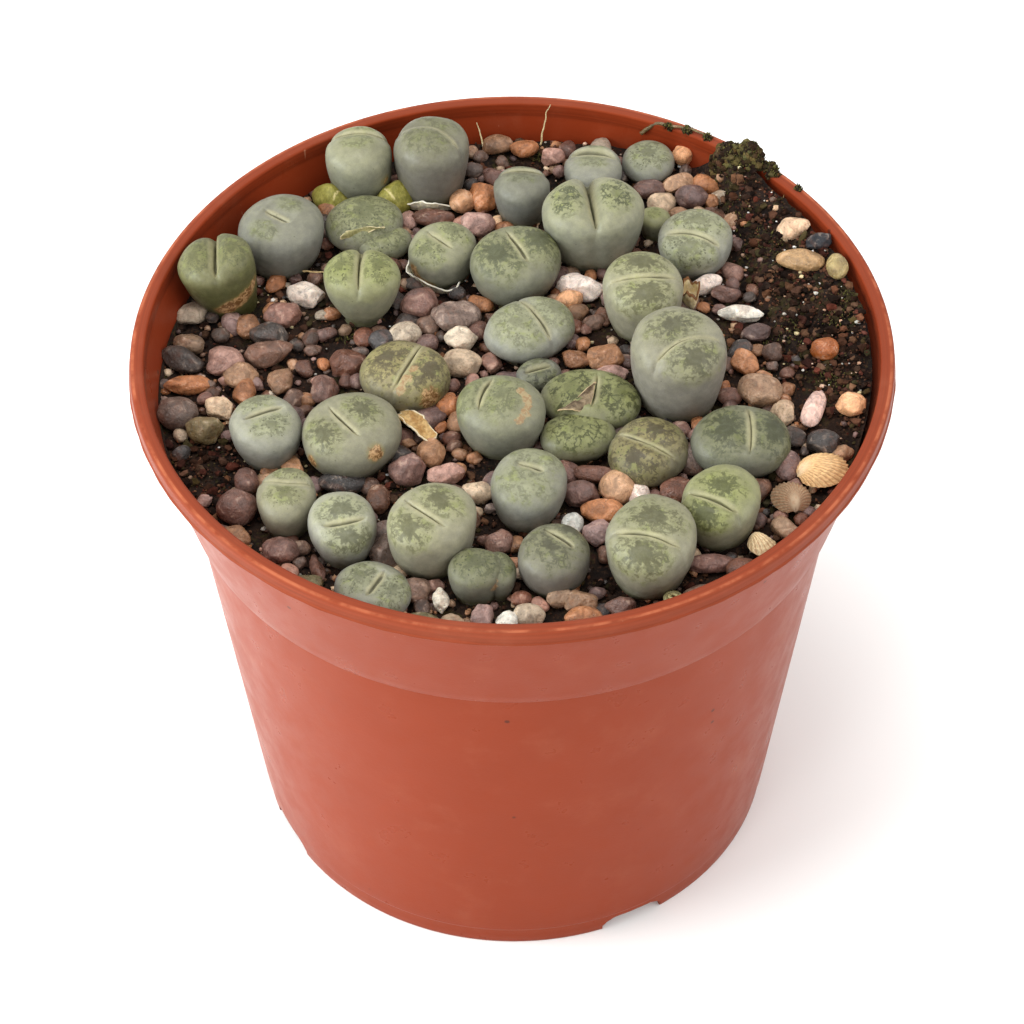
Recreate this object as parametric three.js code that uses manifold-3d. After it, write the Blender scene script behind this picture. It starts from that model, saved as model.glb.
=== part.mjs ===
// Potted lithops: 34 stone-plant bodies in gravel and soil, in a stepped plastic pot.
// Millimetres, +Z up. The origin is the centre of the foot ring's underside.
// The viewer stands on the -Y side and looks down at the plants.

import * as THREE from 'three';
import { mergeVertices } from 'three/addons/utils/BufferGeometryUtils.js';
import Module from 'manifold-3d';

const wasm = await Module();
wasm.setup();

// ---------------------------------------------------------------- driving dimensions

// Clear space between pieces that touch on the real object.
const GAP = 0.3;

// Pot: a thin moulded wall that widens upwards, with one step under a band and a flat lip.
const POT_SIDES = 48;
const RIM_RADIUS = 52.5;
const POT_HEIGHT = 85;
const LIP_HEIGHT = 2.2;
const LIP_WIDTH = 2.1;
const BAND_TOP_RADIUS = 51.3;
const STEP_HEIGHT = 64.5;
const BAND_FOOT_RADIUS = 46.5;
const STEP_WIDTH = 0.9;
const FOOT_RADIUS = 37.6;
const WALL = 0.9;
const FOOT_RING_WIDTH = 2.7;
const FLOOR_LIFT = 3;
const FLOOR_THICKNESS = 1.2;

// Four low arches are cut through the foot ring, and water leaves by holes in the floor.
const ARCH_COUNT = 4;
const FIRST_ARCH_ANGLE = 27;
const ARCH_WIDTH = 9.6;
const ARCH_HEIGHT = 2.5;
const ARCH_SHOULDER = 0.4;
const ARCH_CROWN = 0.6;
const CUT_OVER = 1;
const DRAIN_COUNT = 4;
const DRAIN_RADIUS = 3.6;
const DRAIN_SIDES = 12;
const DRAIN_CIRCLE = 28;

// Ground: the gravel's mean surface slopes up a little to the right (+X).
const GROUND_AT_CENTRE = 79.5;
const GROUND_SLOPE = 0.045;
const BED_THICKNESS = 4;

// The bare soil rises to the rim on the right, in the direction below, with one higher hump
// against the lip at the back.
const MOUND_HEIGHT = 2.5;
const MOUND_ANGLE = 28;
const MOUND_START = 26;
const MOUND_END = 50;
const HUMP = { x: 33, y: 37, height: 2, reach: 9 };
const SOIL_BELOW_GRAVEL = 0.3;
const SOIL_LUMPS = 0.35;

// The gravel ends along this line, from the back to the right-hand front.
const GRAVEL_EDGE = [[23, 60], [26, 45], [31, 34], [33, 21], [36, 9], [39, -3], [45, -13], [58, -26]];
const OUTSIDE = 60;
const SKY = 30;

// The holes that the plants stand in go through the gravel bed.
const HOLE_SIDES = 8;

// Plant bodies: a domed top patch, round sides, a narrower waist at the ground and a blunt root.
const DOME_POWER = 2.4;
const PATCH = 0.8;
const CAP_SHARE = 0.62;
const DEFAULT_WAIST = 0.8;
const ROOT_DEPTH = 3.6;
const ROOT_SHARE = 0.5;
const SLIT_DEPTH = 1.1;
const SADDLE_DEPTH = 0.35;
const SADDLE_WIDTH = 0.35;
const CLEFT_DEPTH = 2.3;
const CLEFT_PINCH = 0.1;
const CLEFT_WIDTH = 0.3;
const CLEFT_IN_FRONT = 0.35;
const LIP = 0.08;
const COLUMNS = [-1, -0.5, -LIP, 0, LIP, 0.5, 1];
const ROWS = [-1, -0.5, 0, 0.5, 1];

// Three bodies have one more lobe in front of or beside the others, in the same growth.
const MORE = {
  lowFront: { x: -18.0, y: 26.2, across: 3.0, along: 3.9, tall: 3.2, turn: 15, plain: true },
  broadFront: { x: 8.8, y: -14, across: 3.9, along: 5.2, tall: 4, turn: 0 },
  smallRight: { x: -1.9, y: -38.9, across: 2.2, along: 2.9, tall: 4.4, turn: -86, plain: true },
};

// Each body: where it stands, half its width across the slit and along it, its height above the
// ground, and the direction of its slit in degrees from +X. Some have their slit off the middle
// (off), bowed (bow), or open at the back (cleft), no slit (plain), a narrow foot (waist), one
// more lobe (more), or lean by some degrees to a side.
const PLANTS = [
  {
    x: -39.4, y: 17.0, across: 5.5, along: 4.8, tall: 10.8, turn: -86, off: -0.07, cleft: 1,
    waist: 0.62, lean: 15, to: -170,
  },
  { x: -32.7, y: 26.0, across: 6.5, along: 5.9, tall: 8.3, turn: -34, off: 0.14, lean: 3, to: 70 },
  { x: -21.8, y: 39.4, across: 4.9, along: 4.8, tall: 9.4, turn: -1, off: -0.5 },
  {
    x: -11.4, y: 39.0, across: 5.7, along: 5.4, tall: 10.6, turn: -24, off: -0.4, waist: 0.78,
    lean: 4, to: 80,
  },
  {
    x: -21.0, y: 29.7, across: 4.9, along: 5.7, tall: 4.8, turn: 15, plain: true,
    more: MORE.lowFront,
  },
  {
    x: -20.8, y: 13.7, across: 5.4, along: 4.8, tall: 9.6, turn: -92, off: 0.07, cleft: 0.45,
    waist: 0.5,
  },
  { x: -9.7, y: 21.7, across: 5.2, along: 4.5, tall: 6.5, turn: -44, off: 0.1 },
  { x: 0.6, y: 18.4, across: 6.5, along: 5.8, tall: 7.6, turn: -63, off: -0.05 },
  { x: 1.6, y: 33.0, across: 4.2, along: 4.1, tall: 6.6, turn: 0, off: -0.45, lean: 7, to: 90 },
  {
    x: 11.6, y: 24.6, across: 7.3, along: 6.0, tall: 11.0, turn: -84, off: 0.05, cleft: 1,
    waist: 0.72,
  },
  { x: 11.8, y: 38.5, across: 4.5, along: 4.2, tall: 5.0, turn: -8, off: -0.35, lean: 5, to: 90 },
  { x: 19.9, y: 41.0, across: 4.0, along: 3.8, tall: 3.6, turn: 10, plain: true },
  { x: 26.0, y: 22.1, across: 5.6, along: 5.2, tall: 6.4, turn: -18, off: 0.4, bow: -1.2 },
  { x: 18.2, y: 10.2, across: 6.2, along: 5.6, tall: 9.2, turn: 5, off: 0.13 },
  {
    x: 22.6, y: -4.4, across: 7.0, along: 6.4, tall: 12.0, turn: 25, off: 0.4, bow: -1.6,
    waist: 0.84,
  },
  { x: 2.5, y: 6.7, across: 6.6, along: 5.4, tall: 4.9, turn: -60, off: -0.15 },
  { x: -14.7, y: -2.4, across: 6.3, along: 5.7, tall: 6.3, turn: 66, off: 0.1 },
  { x: -33.4, y: -12.1, across: 5.4, along: 4.9, tall: 6.9, turn: 24, off: -0.1 },
  { x: -21.7, y: -13.6, across: 7.0, along: 6.4, tall: 7.4, turn: -52, off: 0.2 },
  { x: -30.2, y: -25.2, across: 5.0, along: 4.0, tall: 6.0, turn: -6, off: -0.3, bow: 0.5 },
  { x: -22.6, y: -30.6, across: 5.2, along: 4.6, tall: 6.8, turn: 14, off: 0.36 },
  { x: -10.7, y: -32.5, across: 6.5, along: 5.6, tall: 9.2, turn: -42, off: 0.22 },
  { x: -18.5, y: -40.8, across: 5.2, along: 4.6, tall: 4.2, turn: 61, off: 0.12 },
  { x: -1.5, y: -11.5, across: 6.1, along: 5.6, tall: 8.2, turn: 72, off: -0.42 },
  { x: 3.6, y: -1.5, across: 2.7, along: 3.2, tall: 3.0, turn: 20 },
  {
    x: 10.6, y: -7.6, across: 6.9, along: 5.2, tall: 4.8, turn: 81, off: 0.1,
    more: MORE.broadFront,
  },
  { x: 18.3, y: -17.8, across: 5.8, along: 5.3, tall: 5.2, turn: -33, off: 0.15 },
  { x: 30.6, y: -16.9, across: 6.8, along: 5.9, tall: 5.8, turn: -90, off: -0.2 },
  { x: 27.5, y: -29.6, across: 5.8, along: 5.1, tall: 7.8, turn: -30, off: 0.5 },
  { x: 18.0, y: -37.0, across: 6.9, along: 5.9, tall: 9.4, turn: -17, off: 0.4, bow: -1.6 },
  { x: 2.1, y: -25.0, across: 5.8, along: 5.1, tall: 7.4, turn: -20, off: -0.13 },
  { x: 5.3, y: -37.4, across: 5.0, along: 4.7, tall: 6.5, turn: -40, off: -0.28 },
  {
    x: -4.9, y: -39.2, across: 3.7, along: 3.5, tall: 5.4, turn: -86, plain: true,
    more: MORE.smallRight,
  },
  { x: 20.4, y: 28.2, across: 2.3, along: 2.2, tall: 3.4, turn: 80, plain: true },
];

// ---------------------------------------------------------------- small helpers

function seeded(start) {
  const MULTIPLIER = 16807;
  const MODULUS = 2147483647;
  let state = start;
  return () => {
    state = (state * MULTIPLIER) % MODULUS;
    return state / MODULUS;
  };
}

function radians(degrees) {
  return (degrees * Math.PI) / 180;
}

function smoothStep(low, high, value) {
  const t = Math.min(Math.max((value - low) / (high - low), 0), 1);
  return t * t * (3 - 2 * t);
}

// Shared points are merged, and faces that merging has flattened are dropped.
function closedGeometry(geometry) {
  const bare = geometry.clone();
  bare.deleteAttribute('normal');
  bare.deleteAttribute('uv');
  const merged = mergeVertices(bare, 1e-4);
  const index = merged.index.array;
  const faces = [];
  for (let i = 0; i < index.length; i += 3) {
    const [a, b, c] = [index[i], index[i + 1], index[i + 2]];
    if (a !== b && b !== c && c !== a) faces.push(a, b, c);
  }
  merged.setIndex(faces);
  return merged;
}

function toSolid(geometry) {
  const closed = closedGeometry(geometry);
  return new wasm.Manifold(new wasm.Mesh({
    numProp: 3,
    vertProperties: Float32Array.from(closed.attributes.position.array),
    triVerts: Uint32Array.from(closed.index.array),
  }));
}

function toGeometry(solid) {
  const mesh = solid.getMesh();
  const geometry = new THREE.BufferGeometry();
  geometry.setAttribute('position', new THREE.BufferAttribute(mesh.vertProperties, 3));
  geometry.setIndex(new THREE.BufferAttribute(mesh.triVerts, 1));
  return geometry;
}

// The largest body of a solid; loose scraps left by a cut are dropped.
function mainBody(solid) {
  const bodies = solid.decompose();
  return bodies.reduce((best, body) => (body.volume() > best.volume() ? body : best));
}

function colouredMesh(name, geometry, colour, roughness) {
  geometry.computeVertexNormals();
  const material = new THREE.MeshStandardMaterial({ color: colour, roughness, metalness: 0 });
  const mesh = new THREE.Mesh(geometry, material);
  mesh.name = name;
  return mesh;
}

function ground(x) {
  return GROUND_AT_CENTRE + GROUND_SLOPE * x;
}

// ---------------------------------------------------------------- pot

// The height of the inner wall's bend, where it follows the step outside.
const INNER_BEND = STEP_HEIGHT - WALL / 2;

function potGeometry() {
  const lipBottom = POT_HEIGHT - LIP_HEIGHT;
  const stepTop = BAND_FOOT_RADIUS - STEP_WIDTH;
  const mouth = RIM_RADIUS - LIP_WIDTH;
  const ringInside = FOOT_RADIUS - FOOT_RING_WIDTH;
  const floorTop = FLOOR_LIFT + FLOOR_THICKNESS;
  const profile = [
    [0, FLOOR_LIFT], [ringInside, FLOOR_LIFT], [ringInside, 0], [FOOT_RADIUS, 0],
    [stepTop, STEP_HEIGHT], [BAND_FOOT_RADIUS, STEP_HEIGHT], [BAND_TOP_RADIUS, lipBottom],
    [RIM_RADIUS, lipBottom], [RIM_RADIUS, POT_HEIGHT], [mouth, POT_HEIGHT], [mouth, lipBottom],
    [BAND_FOOT_RADIUS - WALL, INNER_BEND + WALL], [stepTop - WALL, INNER_BEND],
    [innerRadiusAt(floorTop), floorTop], [0, floorTop],
  ];
  return latheUp(profile);
}

// Inside radius of the lower wall at a height below the bend.
function innerRadiusAt(z) {
  const slope = (BAND_FOOT_RADIUS - STEP_WIDTH - FOOT_RADIUS) / STEP_HEIGHT;
  return FOOT_RADIUS + slope * z - WALL;
}

// A closed turned body about the Z axis from [radius, height] points.
function latheUp(profile) {
  const points = profile.map(([radius, height]) => new THREE.Vector2(radius, height));
  const geometry = new THREE.LatheGeometry(points, POT_SIDES);
  geometry.rotateX(Math.PI / 2);
  return geometry;
}

// An arch-topped cutter that passes out through the foot ring.
function archCutter(angle) {
  const half = ARCH_WIDTH / 2;
  const shoulder = ARCH_HEIGHT * ARCH_SHOULDER;
  const crown = half * ARCH_CROWN;
  const inside = FOOT_RING_WIDTH + CUT_OVER;
  const outside = FOOT_RING_WIDTH + CUT_OVER;
  const shape = new THREE.Shape();
  shape.moveTo(-half, -CUT_OVER);
  shape.lineTo(half, -CUT_OVER);
  shape.lineTo(half, shoulder);
  shape.lineTo(crown, ARCH_HEIGHT);
  shape.lineTo(-crown, ARCH_HEIGHT);
  shape.lineTo(-half, shoulder);
  const cutter = new THREE.ExtrudeGeometry(shape, { depth: inside + outside, bevelEnabled: false });
  cutter.rotateX(Math.PI / 2);
  cutter.translate(0, inside - FOOT_RADIUS, 0);
  cutter.rotateZ(radians(angle + 90));
  return cutter;
}

function drainCutter(angle) {
  const depth = FLOOR_THICKNESS + 2 * CUT_OVER;
  const cutter = new THREE.CylinderGeometry(DRAIN_RADIUS, DRAIN_RADIUS, depth, DRAIN_SIDES);
  cutter.rotateX(Math.PI / 2);
  cutter.translate(DRAIN_CIRCLE, 0, FLOOR_LIFT + FLOOR_THICKNESS / 2);
  cutter.rotateZ(radians(angle));
  return cutter;
}

function makePot() {
  let pot = toSolid(potGeometry());
  for (let i = 0; i < ARCH_COUNT; i += 1) {
    pot = pot.subtract(toSolid(archCutter(FIRST_ARCH_ANGLE + (i * 360) / ARCH_COUNT)));
  }
  for (let i = 0; i < DRAIN_COUNT; i += 1) {
    pot = pot.subtract(toSolid(drainCutter(FIRST_ARCH_ANGLE + (i * 360) / DRAIN_COUNT)));
  }
  return pot;
}

// The space inside the pot, held off its walls by the gap.
function bowlSpace() {
  const bottom = FLOOR_LIFT + FLOOR_THICKNESS + GAP;
  const mouth = RIM_RADIUS - LIP_WIDTH - GAP;
  const top = POT_HEIGHT + SKY;
  return toSolid(latheUp([
    [0, bottom], [innerRadiusAt(bottom) - GAP, bottom],
    [BAND_FOOT_RADIUS - STEP_WIDTH - WALL - GAP, INNER_BEND],
    [BAND_FOOT_RADIUS - WALL - GAP, INNER_BEND + WALL],
    [mouth, POT_HEIGHT - LIP_HEIGHT], [mouth, top], [0, top],
  ]));
}

// ---------------------------------------------------------------- plant bodies

function domeAt(radius) {
  return (1 - Math.min(radius, 1) ** DOME_POWER) ** (1 / DOME_POWER);
}

// From a plant's own frame (x across the slit, y along it, z up) to the pot's frame.
function plantMatrix(plant) {
  const lean = radians(plant.lean ?? 0);
  const to = radians(plant.to ?? 0);
  const tipAxis = new THREE.Vector3(-Math.sin(to), Math.cos(to), 0);
  return new THREE.Matrix4()
    .makeTranslation(plant.x, plant.y, ground(plant.x))
    .multiply(new THREE.Matrix4().makeRotationAxis(tipAxis, lean))
    .multiply(new THREE.Matrix4().makeRotationZ(radians(plant.turn - 90)));
}

// Height and reach of the dome over the widest level.
function plantLevels(plant) {
  const cap = CAP_SHARE * Math.min(plant.tall, plant.along);
  return { cap, widest: plant.tall - cap };
}

// A point of the top patch, from a square of s (across) and t (along), both -1 to 1.
function topPoint(plant, s, t) {
  const { cap, widest } = plantLevels(plant);
  const discX = s * Math.sqrt(1 - (t * t) / 2);
  const discY = t * Math.sqrt(1 - (s * s) / 2);
  const bowed = (plant.bow ?? 0) * (1 - 2 * t * t);
  const shift = ((plant.off ?? 0) * plant.across + bowed) * (1 - s * s) * (1 - t ** 4);
  const x = plant.across * PATCH * discX + shift;
  const y = plant.along * PATCH * discY;
  const radius = Math.hypot(x / plant.across, y / plant.along);
  const z = widest + cap * domeAt(radius) - slitDrop(plant, s, t);
  return new THREE.Vector3(x, y, z);
}

// How open the slit is: an open one narrows from the back end (t = -1) to the front.
function cleftAt(plant, t) {
  return (plant.cleft ?? 0) * (CLEFT_IN_FRONT + (1 - CLEFT_IN_FRONT) * (1 - t) / 2);
}

// How far the surface lies below the dome: the slit itself, and the dip between the two lobes.
function slitDrop(plant, s, t) {
  if (plant.plain) return 0;
  const deep = SADDLE_DEPTH + CLEFT_DEPTH * cleftAt(plant, t);
  const dip = deep * Math.exp(-((s / SADDLE_WIDTH) ** 2));
  const crease = s === 0 ? SLIT_DEPTH * (1 - t ** 4) : 0;
  return dip + crease;
}

// Every point round the edge of the top patch, counter-clockwise seen from above.
function patchEdge() {
  const outer = COLUMNS.filter((s) => Math.abs(s) !== LIP);
  const near = outer.map((s) => [s, -1]);
  const right = ROWS.slice(1).map((t) => [1, t]);
  const far = outer.slice(0, -1).reverse().map((s) => [s, 1]);
  const left = ROWS.slice(1, -1).reverse().map((t) => [-1, t]);
  return [...near, ...right, ...far, ...left];
}

// The levels below the patch, from the widest to the root: [share of the full width, height].
function sideLevels(plant) {
  const { widest } = plantLevels(plant);
  return [[1, widest], [plant.waist ?? DEFAULT_WAIST, 0], [ROOT_SHARE, -ROOT_DEPTH]];
}

// One plant as a closed body.
function plantGeometry(plant) {
  const positions = [];
  const faces = [];
  const add = (point) => positions.push(point.x, point.y, point.z) / 3 - 1;

  // Top patch. The slit's lips close at its two ends.
  const grid = ROWS.map((t) => COLUMNS.map((s) => {
    const atEnd = Math.abs(t) === 1 && Math.abs(s) === LIP;
    return add(topPoint(plant, atEnd ? 0 : s, t));
  }));
  for (let row = 0; row + 1 < ROWS.length; row += 1) {
    for (let column = 0; column + 1 < COLUMNS.length; column += 1) {
      const [a, b] = [grid[row][column], grid[row][column + 1]];
      const [c, d] = [grid[row + 1][column + 1], grid[row + 1][column]];
      faces.push(a, b, c, a, c, d);
    }
  }

  // Sides, from the patch's edge down to the root.
  const edge = patchEdge();
  let upper = edge.map(([s, t]) => add(topPoint(plant, s, t)));
  for (const [share, height] of sideLevels(plant)) {
    const lower = edge.map(([s, t]) => {
      const angle = Math.atan2(t * Math.sqrt(1 - (s * s) / 2), s * Math.sqrt(1 - (t * t) / 2));
      const pinch = CLEFT_PINCH * cleftAt(plant, t) * Math.exp(-((s / CLEFT_WIDTH) ** 2));
      const reach = share * (1 - pinch);
      const x = plant.across * reach * Math.cos(angle);
      const y = plant.along * reach * Math.sin(angle);
      return add(new THREE.Vector3(x, y, height));
    });
    edge.forEach((unused, i) => {
      const next = (i + 1) % edge.length;
      faces.push(upper[i], lower[i], lower[next], upper[i], lower[next], upper[next]);
    });
    upper = lower;
  }
  for (let i = 1; i + 1 < edge.length; i += 1) faces.push(upper[0], upper[i + 1], upper[i]);

  const geometry = new THREE.BufferGeometry();
  geometry.setAttribute('position', new THREE.Float32BufferAttribute(positions, 3));
  geometry.setIndex(faces);
  geometry.applyMatrix4(plantMatrix(plant));
  return closedGeometry(geometry);
}

function makePlant(plant) {
  if (!plant.more) return plantGeometry(plant);
  return toGeometry(toSolid(plantGeometry(plant)).add(toSolid(plantGeometry(plant.more))));
}

// A plain tapered sleeve round a plant's foot, held off it by a margin and open to the sky:
// the cutter for its hole. It has few sides, so its corners stand a little further off.
function plantSleeve(plant, margin, sides = HOLE_SIDES) {
  const { widest } = plantLevels(plant);
  const corner = 1 / Math.cos(Math.PI / sides);
  const levels = [...sideLevels(plant)].reverse();
  levels[0] = [ROOT_SHARE, -ROOT_DEPTH - margin];
  levels.push([1, widest + plant.tall]);
  const outline = levels.map(([share, height]) => new THREE.Vector2(share, height));
  const closed = [new THREE.Vector2(0, outline[0].y), ...outline];
  closed.push(new THREE.Vector2(0, closed.at(-1).y));
  const sleeve = new THREE.LatheGeometry(closed, sides);
  sleeve.rotateX(Math.PI / 2);
  const points = sleeve.attributes.position;
  for (let i = 0; i < points.count; i += 1) {
    const [x, y, z] = [points.getX(i), points.getY(i), points.getZ(i)];
    const share = Math.hypot(x, y);
    const grown = share > 0 ? margin / share : 0;
    points.setXYZ(i, x * corner * (plant.across + grown), y * corner * (plant.along + grown), z);
  }
  sleeve.applyMatrix4(plantMatrix(plant));
  return toSolid(sleeve);
}

// ---------------------------------------------------------------- stones

// Where each run of random draws starts.
const SEEDS = { gravel: 100, extraGravel: 4711, loose: 50, oldLeaf: 31, crumbs: 300, crumbPlaces: 977 };

// A stone is a faceted ellipsoid with its points moved in or out a little by a seeded draw.
// Its shape argument gives its facets and how uneven it is.
const GRAVEL_SHAPE = { facets: gravelFacets, uneven: 0.22 };
const PEBBLE_SHAPE = { facets: () => new THREE.IcosahedronGeometry(1, 1), uneven: 0.05 };
const QUARTZ_SHAPE = { facets: () => new THREE.DodecahedronGeometry(1.08, 0), uneven: 0.2 };
const CRUMB_SHAPE = { facets: () => new THREE.OctahedronGeometry(1.1, 0), uneven: 0.3 };

// Six sides and a low crown; the flat underside is buried.
function gravelFacets() {
  const outline = [[0, -0.9], [0.95, -0.5], [0.72, 0.7], [0, 1]];
  const points = outline.map(([radius, height]) => new THREE.Vector2(radius, height));
  const facets = new THREE.LatheGeometry(points, 6);
  facets.rotateX(Math.PI / 2);
  return facets;
}

function stoneGeometry(stone, shape, seed, grow = 0) {
  const random = seeded(seed);
  const geometry = closedGeometry(shape.facets());
  const points = geometry.attributes.position;
  for (let i = 0; i < points.count; i += 1) {
    const stretch = 1 + shape.uneven * (random() - 0.5);
    points.setXYZ(i, points.getX(i) * stretch, points.getY(i) * stretch, points.getZ(i) * stretch);
  }
  geometry.rotateZ(random() * Math.PI);
  geometry.scale(stone.length / 2 + grow, stone.width / 2 + grow, stone.height / 2 + grow);
  geometry.rotateX(radians(stone.roll ?? 0));
  geometry.rotateZ(radians(stone.turn));
  geometry.translate(stone.x, stone.y, stone.z);
  return geometry;
}

// Gravel that shows between the plants: [x, y, length, width, turn], read off by eye.
const SEEN_GRAVEL = [
  // left, beside and in front of the two outer plants
  [-37, 11, 4, 3.5, 90], [-45, 8, 4.5, 3, -20], [-46, 5, 6.5, 3.5, -25], [-40, 4, 5.5, 4.5, -15],
  [-34, 5, 7, 4.2, 0], [-32, 0, 4.7, 3.5, 90], [-46, -6, 5.5, 5, 0],
  [-40, -5, 4.2, 3.5, 0], [-42, -9, 5.2, 4.2, 0], [-37, -2, 5.2, 3, 90], [-26, -2, 4.8, 4, 90],
  [-34, 9, 5.2, 3.7, 0], [-32, 13, 5.2, 3.8, 0], [-23, 3, 5.3, 4.2, 0],
  // middle
  [-13, 14, 5.2, 5, 0], [-8, 11, 7, 5, 15], [-15, 8, 4.6, 3.7, 0], [-7, 7, 4.6, 3.8, 0],
  [-7, 2, 5.3, 4, 0], [-9, -6, 4.2, 3.2, 90], [-14, -18, 5.3, 5, 0], [-11, -15, 4.8, 3.8, 90],
  [-18, -23, 4.8, 3.2, 90], [-30, -16, 4.4, 2.5, -40], [-23, -20, 6.3, 3.4, 0],
  // left-hand front
  [-37, -24, 5.2, 5.2, 90], [-37, -29, 4, 3, -25], [-31, -32, 5, 4, 0],
  [-17, -33, 5.4, 4.6, 90], [-13, -40, 4, 3.8, 0],
  // back
  [-2, 47, 4.6, 3.2, 0], [2, 46, 4, 3, 0], [6, 44, 3.6, 3, 0], [-7, 35, 3.8, 3.7, 0],
  [-4, 36, 4.8, 4, 90], [-5, 30, 5.2, 4.4, 0], [24, 37, 4.6, 3.2, 0],
  [25, 43, 3.7, 3.3, 105], [26, 34, 4.6, 3.7, 0],
  // right
  [8, 14, 4, 2.8, 0], [9, 2, 4.3, 2.8, 0], [13, 2, 5, 3.8, 15],
  [30, 14, 4, 2.7, 0], [33, 6, 4.2, 2.5, 15], [32, 0, 4.5, 3.3, 110],
  [34, -6, 6.3, 5, -25], [37, -10, 3.8, 3.6, 90], [37, -20, 4.8, 3.4, 75], [42, -16, 4.5, 3.8, 0],
  // right-hand front
  [24, -18, 5.2, 4.5, 0], [22, -24, 5, 4, 20], [14, -23, 5, 4.9, 25],
  [9, -24, 4.9, 4, 0], [12, -27, 5.8, 3.5, 0], [11, -31, 4.5, 3.7, 75],
  [26, -37, 6.5, 2.5, 5], [-2, -32, 3.8, 3.7, 0], [30, -38, 4.2, 3, 15],
  // front edge
  [-8, -46, 3, 2.7, 0], [-4, -45, 3.7, 3, 75], [-1, -46, 3.4, 3, 90], [2, -45, 4, 3.2, 0],
  [9, -46, 4.9, 3.4, 0], [9, -43, 4.6, 3.4, 0], [14, -44, 4.2, 3, 0],
];
const GRAVEL_HEIGHT_SHARE = 0.8;
const GRAVEL_SINK = 0.22;

// More gravel, drawn at random where none is seen, so that no wide bare stretch is left.
const EXTRA_COUNT = 9;
const EXTRA_SMALLEST = 3;
const EXTRA_LARGEST = 4.4;
const EXTRA_NARROWEST = 0.7;
const GRAVEL_REACH = 48;
const BARE_PATCH = { x: -41, y: -17, radius: 6 };

function seenGravel() {
  return SEEN_GRAVEL.map(([x, y, length, width, turn]) => ({ x, y, length, width, turn }));
}

// The X of the gravel's right-hand edge at a given Y.
function gravelEdgeAt(y) {
  const above = GRAVEL_EDGE.findIndex((point) => point[1] <= y);
  const [x0, y0] = GRAVEL_EDGE[Math.max(above - 1, 0)];
  const [x1, y1] = GRAVEL_EDGE[above < 0 ? GRAVEL_EDGE.length - 1 : above];
  return y0 === y1 ? x1 : x0 + ((x1 - x0) * (y - y0)) / (y1 - y0);
}

function clearOf(stone, others) {
  const SQUEEZE = 0.42;
  return others.every((other) => {
    const reach = SQUEEZE * (stone.length + other.length);
    return Math.hypot(stone.x - other.x, stone.y - other.y) > reach;
  });
}

function extraGravel(standing) {
  const random = seeded(SEEDS.extraGravel);
  const found = [];
  while (found.length < EXTRA_COUNT) {
    const angle = random() * 2 * Math.PI;
    const out = GRAVEL_REACH * Math.sqrt(random());
    const length = EXTRA_SMALLEST + (EXTRA_LARGEST - EXTRA_SMALLEST) * random() ** 2;
    const stone = {
      x: out * Math.cos(angle),
      y: out * Math.sin(angle),
      length,
      width: length * (EXTRA_NARROWEST + (1 - EXTRA_NARROWEST) * random()),
      turn: 180 * random(),
    };
    const inGravel = stone.x < gravelEdgeAt(stone.y) - length / 2;
    const fromPatch = Math.hypot(stone.x - BARE_PATCH.x, stone.y - BARE_PATCH.y);
    if (inGravel && fromPatch > BARE_PATCH.radius && clearOf(stone, [...standing, ...found])) {
      found.push(stone);
    }
  }
  return found;
}

// The plants' feet and the loose pieces, as round spots that gravel keeps off.
function standingSpots() {
  const feet = PLANTS.map((plant) => ({
    x: plant.x,
    y: plant.y,
    length: 2 * (plant.waist ?? DEFAULT_WAIST) * plant.across,
  }));
  return [...feet, ...LOOSE_STONES, ...SHELLS];
}

// ---------------------------------------------------------------- loose pieces on top

// White and pale stones, pebbles and a dark crumb that lie loose. Each is lifted so that it
// sits about half its height in the ground.
const LOOSE_STONES = [
  { name: 'quartz_1', x: 9.6, y: 16.2, length: 7, width: 3.8, height: 4, turn: -10 },
  { name: 'quartz_2', x: 32.2, y: 9.8, length: 7.1, width: 2.6, height: 2.6, turn: -5 },
  { name: 'quartz_3', x: 27.2, y: 15.9, length: 5, width: 2.4, height: 3.4, turn: 25 },
  { name: 'quartz_4', x: 41, y: -9.4, length: 7, width: 3, height: 3, turn: 70 },
  { name: 'quartz_5', x: 16.8, y: -24.4, length: 4.2, width: 3.2, height: 3.6, turn: 95 },
  { name: 'quartz_6', x: -9.6, y: -41.8, length: 4.2, width: 2.4, height: 2.6, turn: 95 },
  { name: 'quartz_7', x: 39.8, y: 24.8, length: 5.2, width: 3.7, height: 3.6, turn: 38 },
  { name: 'quartz_8', x: -29, y: 17, length: 5.8, width: 3.5, height: 3.4, turn: -20 },
  { name: 'pebble_1', x: 40.7, y: 17.7, length: 7.3, width: 3.6, height: 3, turn: -10, smooth: true },
  { name: 'pebble_2', x: 43, y: 1, length: 4, width: 3.6, height: 3.2, turn: 0, smooth: true },
  { name: 'pebble_3', x: 45.6, y: 16, length: 4.6, width: 3.2, height: 3, turn: 90, smooth: true },
  { name: 'pebble_4', x: 46, y: -9.6, length: 4.3, width: 3.7, height: 3, turn: 0, smooth: true },
  { name: 'charcoal', x: 43.2, y: 21.2, length: 3.9, width: 2.8, height: 2.8, turn: 20 },
];
const STONE_LIFT = 0.6;

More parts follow.
